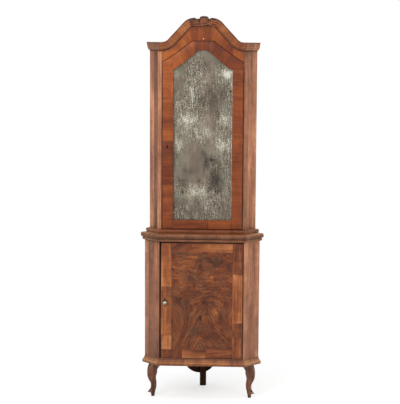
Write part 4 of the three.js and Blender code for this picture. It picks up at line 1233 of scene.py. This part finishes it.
def cabriole_leg(side, side_name):
    turn = Matrix.Rotation(-math.pi / 4 if side > 0 else -3 * math.pi / 4, 3, "Z")
    foot = Vector((side * (LOWER.half + LOWER.run / 2), LOWER.run / 2, 0))
    rings = []
    for r in range(LEG_RINGS + 1):
        share = r / LEG_RINGS
        centre, out, back, half = spline_at(LEG_SHARES, share)
        toe = hump(share, 0.11, 0.15, 0.2, 0.26)
        ankle = hump(share, 0.25, 0.5, 0.8, 1)
        hollow = hump(share, 0.19, 0.21, 0.225, 0.245)
        ring = []
        for i in range(LEG_SIDES):
            angle = 2 * math.pi * i / LEG_SIDES
            c, s = math.cos(angle), math.sin(angle)
            reach = out if c > 0 else back
            point = math.copysign(abs(s) ** (1 + TOE_POINT * toe * max(c, 0.0)), s)
            arris = 1 - ARRIS_EASE * abs(math.sin(2 * angle)) * ankle
            local = Vector((centre + reach * c * arris, half * point * arris, share)) * LEG_TOP
            groove = hollow * max(0.0, c)
            local.x -= TOE_GROOVE * groove
            grain = (local + Vector((side * LEG_SHIFT, 0, 0))) * MM
            ring.append((turn @ local + foot, grain, LEG_TINTS[side], leg_wear(share, c, groove)))
        rings.append(ring)
    skin(f"front_{side_name}_cabriole", rings, "carved_walnut", stands_for=[f"front_leg_{side_name}"])
    inner = -SIDE_THICKNESS - FIT
    block = [(turn @ Vector((x, y, 0)) + foot).xy
             for x, y in rectangle(inner - 2 * BLOCK_HALF, inner, -BLOCK_HALF, BLOCK_HALF)]
    prism(f"front_{side_name}_leg_block", block, BLOCK_LOW, BLOCK_TOP, "carved_walnut", flat=True)


for side, side_name in SIDES:
    cabriole_leg(side, side_name)

# Canted sides: a core board with upright veneers, three to a face. Each has the tints of its veneers
# and what is added at their feet and at their heads
CANT_JOINTS = {"upper": (0.3, 0.62), "lower": (0.36, 0.72)}
CANT_TINTS = {
    "upper_left": ((0.12, -0.28, 0.06), (0.18, -0.1)), "upper_right": ((-0.02, 0.08, 0.02), (0.17, -0.06)),
    "lower_left": ((-0.18, -0.2, 0.0), (-0.02, 0.04)), "lower_right": ((0.1, -0.1, 0.12), (-0.06, 0.08)),
}


def fading(tint, fade, bottom, top):
    """A tone that changes from the foot of a veneer to its head"""
    return lambda point: tint + fade[0] + (fade[1] - fade[0]) * (point.z - bottom) / (top - bottom)


def canted_side(which, level_stage, bottom, top, side, side_name):
    half, front, run, jamb = level_stage
    node = f"{which}_side_{side_name}"
    depth, thin, eave = SIDE_THICKNESS * SLANT, VENEER * SLANT, VENEER * (ROOT_TWO - 1)
    jamb_back = jamb - (half - front - SIDE_THICKNESS * ROOT_TWO)
    core = [
        (half - eave, front + VENEER), (half + run - thin, front + run + thin),
        (half + run - depth, front + run + depth), (jamb, jamb_back), (jamb, front + VENEER),
    ]
    prism(f"{node}_core", [(side * x, y) for x, y in core], bottom, top, "cant_walnut", flat=True,
          stands_for=[node], bevel=CORE_EASE, tint=-0.05, wear=gap_shaded_front(front, front + run))
    tints, fade = CANT_TINTS[f"{which}_{side_name}"]
    for k, near, far in lengths([run * cut for cut in (0.0, *CANT_JOINTS[which], 1.0)]):
        strip = [(half + far, front + far), (half + far - thin, front + far + thin)]
        if k:
            strip = [(half + near, front + near), *strip, (half + near - thin, front + near + thin)]
        else:
            strip = [(jamb, front), (half, front), *strip, (half - eave, front + VENEER),
                     (jamb, front + VENEER)]
        prism(f"{node}_veneer_{('inner', 'middle', 'outer')[k]}", [(side * x, y) for x, y in strip], bottom,
              top, "cant_walnut", flat=True, bevel=VENEER_EASE, rim=0, wear=gap_shaded_jamb(jamb),
              tint=fading(tints[k], fade, bottom, top))


for side, side_name in SIDES:
    canted_side("lower", LOWER, PLINTH_TOP, WAIST_LOW, side, side_name)
    canted_side("upper", UPPER, BASE_TOP, CORNICE_TOP, side, side_name)


# Frieze: a core board with nine veneers
def places(edges, x0, x1):
    """Every place between two others where one of the edges bends"""
    inner = {s * x for edge in edges for x, _ in edge for s in (-1, 1) if x0 < s * x < x1}
    return sorted({x0, x1, *inner})


def arched(edge):
    return lambda x: height_on(edge, x)


def arched_band(name, low_edge, high_edge, x0, x1, near, far, look, **more):
    """A board between two arched edges"""
    stops = places((low_edge, high_edge), x0, x1)
    band(name, arched(low_edge), arched(high_edge), stops, near, far, look, **more)


STOP_DEPTH = 10.5
DOOR_GAP = 3
SINK = 10
FRIEZE_JOINTS = (-168, -84, -61, -26, 17, 42, 100, 153)
FRIEZE_TINTS = (0.34, 0.22, 0.1, -0.06, 0.08, 0.02, 0.18, 0.0, 0.1)
FRIEZE_LEAN = (0, -38, -20, 0, 0, 0, 20, 38, 0)
frieze_half = UPPER.jamb - FIT
frieze_foot = arch_edge(DOOR_ARCH, DOOR_GAP, frieze_half)
frieze_head = arch_edge(PEDIMENT, -SINK, frieze_half)
frieze_front = UPPER.front
frieze_back = STILE_HIGH.y
arched_band("frieze_core", frieze_foot, frieze_head, -frieze_half, frieze_half, frieze_front + VENEER,
            frieze_back, "softwood", stands_for=["frieze"], grain=level, bevel=CORE_EASE,
            wear=gap_shaded_front(frieze_front, frieze_back))
stop_low = CORNICE_TOP + FIT
stop_half = max(x for x, z in frieze_head if z > stop_low + 2)
stops = places((frieze_head,), -stop_half, stop_half)
band("frieze_door_stop", lambda x: stop_low, arched(frieze_head), stops, frieze_back + JOINT,
     frieze_back + STOP_DEPTH, "softwood_gap_shade", bevel=CORE_EASE)
for k, x0, x1 in lengths([-frieze_half, *FRIEZE_JOINTS, frieze_half]):
    arched_band(f"frieze_veneer_{k + 1}", frieze_foot, frieze_head, x0, x1, frieze_front,
                frieze_front + VENEER, "red_walnut", grain=slanted(90 - FRIEZE_LEAN[k]),
                tint=FRIEZE_TINTS[k], bevel=VENEER_EASE, wear=unworn)

STUD_RINGS = 5
STUD_SIDES = 14


def stud(name, x, z, front, radius, rise, look, body="cabinet"):
    """The domed head of a nail or screw on an upright face; a rise below zero faces the back"""
    rings = []
    for k in range(STUD_RINGS + 1):
        angle = math.pi / 2 * k / (STUD_RINGS + 0.5)
        ring = []
        for i in range(STUD_SIDES):
            turn = 2 * math.pi * i / STUD_SIDES
            out = radius * math.cos(angle) * (1 + 0.08 * math.sin(3 * turn + x))
            depth = front - rise * math.sin(angle)
            spot = Vector((x + out * math.cos(turn), depth, z + out * math.sin(turn)))
            ring.append((spot, spot * MM, 0.0, 0.0))
        rings.append(ring)
    skin(name, rings, look, body)


stud("frieze_nail", 2, CROWN - 106.5, frieze_front, 2.9, 1.8, "nail_head")

# Upper door: cores with a rebate behind, cross-grained veneers in lengths
REBATE_WIDTH = 8
REBATE_DEPTH = 14
door_front = STILE_LOW.y
door_back = STILE_HIGH.y
door_half = STILE_HIGH.x
sill = STILE_LOW.z
glass_sill = span("upper_door_bottom_rail")[1].z
shoulder = STILE_HIGH.z
glass_edge = arch_edge(GLASS_ARCH)
door_edge = arch_edge(DOOR_ARCH)
rebate_half = GLASS_HALF + REBATE_WIDTH
rebate_edge = arch_edge(GLASS_ARCH, REBATE_WIDTH, rebate_half)
rebate_front = door_back - REBATE_DEPTH
CORE = {"near": door_front + VENEER, "far": rebate_front, "look": "red_walnut"}
BACK = {"near": rebate_front, "far": door_back, "look": "softwood"}
INSIDE = {"body": "upper_door", "wear": gap_shaded_front(door_front, door_back)}


def rail(name, inner_edge, inner_half, **more):
    """The arched rail, down to the shoulders beside the glass"""
    step = JOINT / 2
    stops = sorted({*places((door_edge, inner_edge), -door_half, door_half),
                    -inner_half - step, -inner_half, inner_half, inner_half + step})
    inner_level = arched(inner_edge)
    band(name, lambda x: inner_level(x) if abs(x) <= inner_half else shoulder, arched(door_edge), stops,
         grain=level, **INSIDE, **more)


rail("upper_door_arch_core", glass_edge, GLASS_HALF, stands_for=["upper_door_arch_rail"], **CORE)
rail("upper_door_arch_back", rebate_edge, rebate_half, **BACK)
for side, side_name in SIDES:
    for part, inner_x, more in (
        ("core", GLASS_HALF, {**CORE, "stands_for": [f"upper_door_stile_{side_name}"]}),
        ("back", rebate_half, BACK),
    ):
        x0, x1 = sorted((side * inner_x, side * door_half))
        name = f"upper_door_{side_name}_stile_{part}"
        if side < 0:
            pierced(name, (x0, x1, sill, shoulder), UPPER_KEYHOLE, **INSIDE, **more)
        else:
            prism(name, rectangle(x0, x1, sill, shoulder), **INSIDE, **more)
prism("upper_door_bottom_core", rectangle(-GLASS_HALF, GLASS_HALF, sill, glass_sill), grain=level,
      stands_for=["upper_door_bottom_rail"], **INSIDE, **CORE)
prism("upper_door_bottom_back", rectangle(-rebate_half, rebate_half, sill, glass_sill - REBATE_WIDTH),
      grain=level, **INSIDE, **BACK)

above_all = 2 * CREST_TOP
upper_margin = gap_shaded_margin(Vector((-door_half, 0, sill)), Vector((door_half, 0, above_all)))
BOTTOM_JOINT = 30
STILE_JOINTS = {"left": (0.28, 0.55, 0.82), "right": (0.3, 0.58, 0.93)}
STILE_TINTS = {"left": (0.04, -0.2, 0.06, 0.2), "right": (0.04, -0.02, -0.04, -0.06)}


def upper_veneer(name, sides, tint):
    door_veneer(f"upper_door_{name}", sides, UPPER_KEYHOLE, door_front, upper_margin, "red_walnut",
                body="upper_door", grain=level, tint=tint)


for side, side_name in SIDES:
    x0, x1 = sorted((side * GLASS_HALF, side * door_half))
    cuts = [sill + (shoulder - sill) * share for share in (0.0, *STILE_JOINTS[side_name], 1.0)]
    for k, z0, z1 in lengths(cuts):
        upper_veneer(f"{side_name}_veneer_{k + 1}", (x0, x1, z0, z1), STILE_TINTS[side_name][k])
for k, x0, x1 in lengths([-GLASS_HALF, BOTTOM_JOINT, GLASS_HALF]):
    upper_veneer(f"bottom_veneer_{('left', 'right')[k]}", (x0, x1, sill, glass_sill), (-0.12, 0.0)[k])

RAIL_JOINTS = (-GLASS_HALF, -118, -45, 30, 104, GLASS_HALF)
RAIL_TINTS = (0.24, 0.24, 0.1, -0.14, -0.2, -0.14, -0.12)
RAIL_LEAN = (0, -34, -34, 0, 34, 34, 0)
flat_edge = [(0.0, shoulder), (door_half, shoulder)]
for k, x0, x1 in lengths([-door_half, *RAIL_JOINTS, door_half]):
    beside = k in (0, len(RAIL_JOINTS))
    arched_band(f"upper_door_arch_veneer_{k + 1}", flat_edge if beside else glass_edge, door_edge, x0, x1,
                door_front, door_front + VENEER, "red_walnut", body="upper_door",
                grain=level if beside else slanted(90 - RAIL_LEAN[k]), tint=RAIL_TINTS[k],
                bevel=VENEER_EASE, wear=unworn)

# Old mirror: a fine grid that carries its clouds, as x, z, half-width, half-height and strength
CLOUDS = (
    (-77, 1471, 60, 24, 0.3), (112, 1469, 36, 26, 0.3), (31, 1398, 22, 22, 0.2),
    (-126, 1335, 22, 44, 0.32), (105, 1341, 46, 24, 0.24), (-35, 1400, 80, 44, 0.14),
    (-38, 1098, 50, 34, 0.22), (100, 1400, 40, 60, 0.06), (0, 1640, 60, 50, 0.08),
    (124, 1706, 20, 20, 0.75), (-127, 1706, 18, 20, 0.22), (20, 1080, 90, 30, 0.1),
    (60, 1310, 40, 20, 0.08), (-100, 1560, 30, 80, 0.05), (4, 1298, 14, 16, -0.3),
    (20, 1262, 14, 22, -0.3), (34, 1232, 12, 24, -0.24), (60, 1260, 26, 18, -0.16),
    (74, 1150, 40, 60, -0.3), (-76, 1198, 36, 16, -0.2), (-30, 1215, 60, 90, -0.1),
    (40, 1560, 30, 80, -0.16), (95, 1590, 40, 60, -0.1), (30, 1760, 40, 40, -0.1),
    (0, 980, 130, 24, -0.08), (-110, 1140, 30, 60, -0.12), (120, 1270, 20, 60, -0.06),
    (-102, 1090, 12, 10, -0.16), (110, 1215, 14, 9, -0.14),
)
SMOOTH_PATCH = (-48, 1240, 74, 104)
MIRROR_STEP = 4


def ripple(x, z, scale_x, scale_z, seed):
    return noise.noise(Vector((x * scale_x, z * scale_z, seed)))


def clouds_and_painted_edges_at(x, z):
    total = 0.0
    drift_x = 12 * ripple(x, z, 0.035, 0.02, 1)
    drift_z = 18 * ripple(x, z, 0.03, 0.025, 2)
    for cx, cz, wide, high, strength in CLOUDS:
        ragged = 1 + 0.7 * ripple(x, z, 0.05, 0.05, cx)
        away = ((x + drift_x - cx) / wide) ** 2 + ((z + drift_z - cz) / high) ** 2
        total += strength * math.exp(-away * ragged)
    # Darker along the left and bottom edges: painted shadow of the frame's lip. Paler along the right edge:
    # painted reflection of the frame's inner edge
    edge = min(GLASS_HALF + x, z - glass_sill)
    rim = 0.34 * smooth(x, GLASS_HALF - 6, GLASS_HALF - 2)
    return total - 0.16 * math.exp(-max(edge, 0) / 7) + rim


def flecking_at(x, z):
    """How much the flecks show: little in the smooth patch at the middle and in soft areas"""
    cx, cz, wide, high = SMOOTH_PATCH
    ragged = 0.5 * ripple(x, z, 0.035, 0.02, 0) + 0.2 * ripple(x, z, 0.12, 0.06, 3)
    away = math.hypot((x - cx) / wide, (z - cz) / high) + ragged
    soft = 0.62 + 0.5 * ripple(x, z, 0.012, 0.008, 5)
    return max(0.2, min(1.0, soft)) * (0.28 + 0.72 * smooth(away, 0.75, 1.2))


def mirror():
    half, low = PANE_HIGH.x, PANE_LOW.z
    top_edge = arch_edge(GLASS_ARCH, half - GLASS_HALF, half)
    columns = round(2 * half / MIRROR_STEP)
    rows = round((PANE_HIGH.z - low) / MIRROR_STEP)

    def point_at(i, j, side):
        x = -half + 2 * half * i / columns
        z = low + (height_on(top_edge, x) - low) * j / rows
        spot = Vector((x, (PANE_LOW, PANE_HIGH)[side].y, z))
        return spot, spot * MM, clouds_and_painted_edges_at(x, z), flecking_at(x, z)

    plate("mirror_plate", columns, rows, point_at, "old_mirror", "upper_door", ["mirror_glass"])


mirror()

# Lower door: a core, a burr field in two leaves and banding in lengths
FIELD_LEFT, FIELD_RIGHT = DOOR_LOW.x + 55, DOOR_HIGH.x - 52.5
FIELD_LOW, FIELD_HIGH = DOOR_LOW.z + 46.5, DOOR_HIGH.z - 48.5
pierced("lower_door_core", (DOOR_LOW.x, DOOR_HIGH.x, DOOR_LOW.z, DOOR_HIGH.z), LOWER_KEYHOLE,
        DOOR_LOW.y + VENEER, DOOR_HIGH.y, "softwood", body="lower_door", stands_for=["lower_door_panel"],
        wear=gap_shaded_front(DOOR_LOW.y, DOOR_HIGH.y))
lower_margin = gap_shaded_margin(DOOR_LOW, DOOR_HIGH)


def lower_band(name, sides, tint, **more):
    door_veneer(f"lower_door_band_{name}", sides, LOWER_KEYHOLE, DOOR_LOW.y, lower_margin, "door_walnut",
                body="lower_door", tint=tint, **more)


# Upright bands: shares of the door's height where their lengths meet, and tints from the foot up
BANDS = (
    ("left", DOOR_LOW.x, FIELD_LEFT, (0.0, 0.075, 0.2, 0.62, 1.0), (-0.15, 0.4, 0.16, 0.17)),
    ("right", FIELD_RIGHT, DOOR_HIGH.x, (0.0, 0.19, 0.31, 0.735, 1.0), (0.0, -0.1, 0.27, -0.28)),
)
for side_name, x0, x1, shares, tints in BANDS:
    cuts = [DOOR_LOW.z + (DOOR_HIGH.z - DOOR_LOW.z) * share for share in shares]
    for k, z0, z1 in lengths(cuts):
        lower_band(f"{side_name}_{k + 1}", (x0, x1, z0, z1), tints[k])
for name, x0, x1, z0, z1, tint, lean in (
    ("top_left", FIELD_LEFT, -52, FIELD_HIGH, DOOR_HIGH.z, -0.14, 35),
    ("top_right", -52, FIELD_RIGHT, FIELD_HIGH, DOOR_HIGH.z, 0.12, 4),
    ("bottom_left", FIELD_LEFT, -100, DOOR_LOW.z, FIELD_LOW, -0.24, 70),
    ("bottom_middle", -100, 26, DOOR_LOW.z, FIELD_LOW, 0.1, 0),
    ("bottom_right", 26, FIELD_RIGHT, DOOR_LOW.z, FIELD_LOW, -0.16, 8),
):
    lower_band(name, (x0 + JOINT, x1 - JOINT, z0, z1), tint, grain=slanted(lean))

# The burr: knots that it curls round, as x, z, radius and turn, and broad shades of the field
EYES = (
    (-95, 690, 30, 0.9), (-45, 640, 24, -0.8), (-100, 560, 26, 0.8), (-30, 560, 22, 0.9),
    (60, 610, 22, -0.7), (128, 625, 14, 1.6), (20, 500, 22, 0.8), (-60, 470, 26, -0.7),
    (120, 520, 20, 0.9), (-118, 400, 22, 0.7), (-50, 330, 22, -0.7), (130, 380, 20, -0.8),
    (100, 290, 20, 0.7),
)
BURR_SHADES = (
    (75, 735, 90, 50, -0.14), (-80, 700, 60, 70, 0.12), (128, 640, 16, 30, -0.2), (60, 700, 60, 7, 0.1),
    (-8, 700, 12, 60, -0.1), (-40, 600, 14, 60, -0.14), (-100, 560, 30, 50, -0.1), (40, 590, 60, 30, 0.08),
    (30, 520, 34, 16, -0.16), (70, 470, 50, 24, 0.2), (-4, 430, 5, 22, -0.6), (-30, 362, 40, 20, -0.22),
    (90, 395, 40, 14, 0.14), (70, 400, 50, 10, -0.14), (-90, 350, 34, 50, 0.02), (-30, 320, 60, 12, 0.1),
    (60, 330, 50, 18, -0.16), (70, 296, 40, 10, 0.12), (90, 276, 50, 12, -0.16), (-110, 640, 20, 50, 0.06),
    (0, 655, 20, 30, -0.06), (-90, 470, 30, 40, -0.06),
)
LEAF_STEP = 4
FLAME_X = -7
FLAME_TOP = 470
FLAME_SPREAD = 90


def figure_at(x, z):
    """Where a point lies along and across the figure: level waves above, a spreading flame below"""
    flow = Vector((x, 0, z))
    for ex, ez, radius, spin in EYES:
        away = Vector((flow.x - ex, 0, flow.z - ez))
        pull = spin * math.exp(-(away.length / radius) ** 2)
        flow = Vector((ex, 0, ez)) + Matrix.Rotation(pull, 3, "Y") @ away
    flame = 1 - smooth(flow.z, FLAME_TOP - FLAME_SPREAD, FLAME_TOP + FLAME_SPREAD)
    beside = abs(flow.x - FLAME_X)
    steep = 1.9 if flow.x < FLAME_X else 0.9
    across = flow.z + flame * steep * beside
    along = flow.x * (1 + 0.4 * flame)
    return Vector((across, 0, along))


def shade_at(x, z):
    total = 0.0
    for sx, sz, wide, high, strength in BURR_SHADES:
        total += strength * math.exp(-((x - sx) / wide) ** 2 - ((z - sz) / high) ** 2)
    return total


def leaf(name, x0, x1, shift):
    columns = round((x1 - x0) / LEAF_STEP)
    rows = round((FIELD_HIGH - FIELD_LOW) / LEAF_STEP)

    def point_at(i, j, side):
        x = x0 + (x1 - x0) * i / columns
        z = FIELD_LOW + (FIELD_HIGH - FIELD_LOW) * j / rows
        return (x, DOOR_LOW.y + VENEER * side, z), (figure_at(x, z) + shift) * MM, shade_at(x, z)

    plate(name, columns, rows, point_at, "burl_walnut", "lower_door")


field_middle = (FIELD_LEFT + FIELD_RIGHT) / 2
leaf("lower_door_leaf_left", FIELD_LEFT + JOINT, field_middle - JOINT, Vector((0, 700, 0)))
leaf("lower_door_leaf_right", field_middle + JOINT, FIELD_RIGHT - JOINT, Vector((0, 0, 0)))

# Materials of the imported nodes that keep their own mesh
STAGES = ("lower", "upper")
KEPT = {
    "softwood_gap_shade": [f"{where}_post_{side_name}" for where in STAGES for _, side_name in SIDES],
    "softwood_upright": ["lower_back_left", "lower_back_right", "upper_back_left", "upper_back_right",
                         "upper_back_centre", "mirror_backboard"],
    "softwood_level": ["lower_bottom", "lower_top", "lower_shelf", "upper_bottom", "upper_top",
                       "upper_shelf_low", "upper_shelf_high"],
    "stained_softwood": ["rear_leg", "lower_back_centre"],
    "iron": [f"{where}_lock_{part}" for where in STAGES for part in ("case", "bolt")]
            + [f"{where}_hinge_{height}_{side}_leaf" for where in STAGES for height in ("low", "high")
               for side in ("jamb", "door")],
    "escutcheon_brass": ["escutcheon"],
    "key_iron": ["lower_key"],
}
METAL_ARRIS = 0.0002
WOOD_ARRIS = 0.0008
for look, nodes in KEPT.items():
    for node in nodes:
        kept = frame["nodes"][node]
        kept.data.materials.clear()
        kept.data.materials.append(LOOKS[look])
        weld = kept.modifiers.new("weld", "WELD")
        weld.merge_threshold = 0.00001
        ease = kept.modifiers.new("arris", "BEVEL")
        ease.width = METAL_ARRIS if look in METALS else WOOD_ARRIS
        ease.segments = 2
        ease.limit_method = "ANGLE"
        ease.angle_limit = SHARP

# Screws that hold the locks to the backs of the doors
LOCKS = (("lower", "lower_door", -180.2, 519, 18, 24, 34), ("upper", "upper_door", -180.5, 1331, 11, 24, 74))
for prefix, body, mid_x, mid_z, half_x, half_z, rear in LOCKS:
    for k, (side_x, side_z) in enumerate(((-1, -1), (-1, 1), (1, -1), (1, 1))):
        stud(f"{prefix}_lock_screw_{k + 1}", mid_x + side_x * half_x, mid_z + side_z * half_z, rear,
             2.6, -1.0, "iron", body)

# Camera: the photograph's viewpoint
LENS = 125.54
SENSOR = 36
EYE = Vector((0.3153, FRONT - 7.2, 2.0535))
YAW, PITCH, ROLL = math.radians(2.582), math.radians(-7.949), math.radians(0.341)
ahead = Vector((-math.sin(YAW) * math.cos(PITCH), math.cos(YAW) * math.cos(PITCH), math.sin(PITCH)))
across = Vector((math.cos(YAW), math.sin(YAW), 0))
above = across.cross(ahead)
camera_x = across * math.cos(ROLL) + above * math.sin(ROLL)
camera_y = above * math.cos(ROLL) - across * math.sin(ROLL)
camera_data = bpy.data.cameras.new("camera")
camera_data.lens = LENS
camera_data.sensor_width = SENSOR
camera = placed("camera", camera_data)
rows = [(camera_x[i], camera_y[i], -ahead[i], EYE[i]) for i in range(3)]
camera.matrix_world = Matrix((*rows, (0, 0, 0, 1)))
bpy.context.scene.camera = camera


# Floor, world and lamps
FLOOR_HALF = 60
SHADE_NEAR, SHADE_FAR, NEAR_GLOW = 0.5, 1.6, 0.6
WORLD_LEVEL = 0.62


def floor():
    """A pale floor that shows as the white background, with the cupboard's shadow near its feet"""
    mesh = bpy.data.meshes.new("floor")
    corners = [(x, y, 0) for x, y in rectangle(-FLOOR_HALF, FLOOR_HALF, -FLOOR_HALF, FLOOR_HALF)]
    mesh.from_pydata(corners, [], [(0, 1, 2, 3)])
    g = Graph(bpy.data.materials.new("pale_floor"))
    g.set(Base_Color="f4f4f4", Roughness=0.9, Specular_IOR_Level=0.1)
    away = g.vector("DISTANCE", g.place(), (0, 0, 0), "Value")
    share = g.math("MULTIPLY", g.seen(), g.between(away, SHADE_NEAR, SHADE_FAR, NEAR_GLOW, 1.0))
    glow = g.add("ShaderNodeEmission", {"Color": (1, 1, 1, 1), "Strength": 1.0}).outputs[0]
    blend = g.add("ShaderNodeMixShader", {0: share, 1: g.shader.outputs[0], 2: glow})
    g.feed(g.tree.nodes["Material Output"].inputs["Surface"], blend.outputs[0])
    mesh.materials.append(g.owner)
    placed("floor", mesh)


def world():
    g = Graph(bpy.data.worlds.new("studio"), "Background")
    g.set(Color=(1, 1, 1, 1), Strength=g.between(g.seen(), 0.0, 1.0, WORLD_LEVEL, 1.0))
    bpy.context.scene.world = g.owner


def lamp(name, place, target, size, power):
    data = bpy.data.lights.new(name, "AREA")
    data.shape = "DISK"
    data.size = size
    data.energy = power
    made = placed(name, data)
    made.location = place
    made.rotation_mode = "QUATERNION"
    made.rotation_quaternion = (Vector(target) - Vector(place)).to_track_quat("-Z", "Y")


floor()
world()
MIDDLE = (0, 0, 1.1)
FOOT = (0, 0, 0)
lamp("key", (-2.0, -3.6, 3.4), MIDDLE, 2.2, 120)
lamp("fill", (3.0, -3.2, 2.2), MIDDLE, 2.6, 60)
lamp("top", (0.2, -0.9, 4.4), FOOT, 3.0, 75)
lamp("back", (0.5, 3.4, 3.0), MIDDLE, 2.6, 50)
bpy.context.scene.view_settings.view_transform = "Standard"
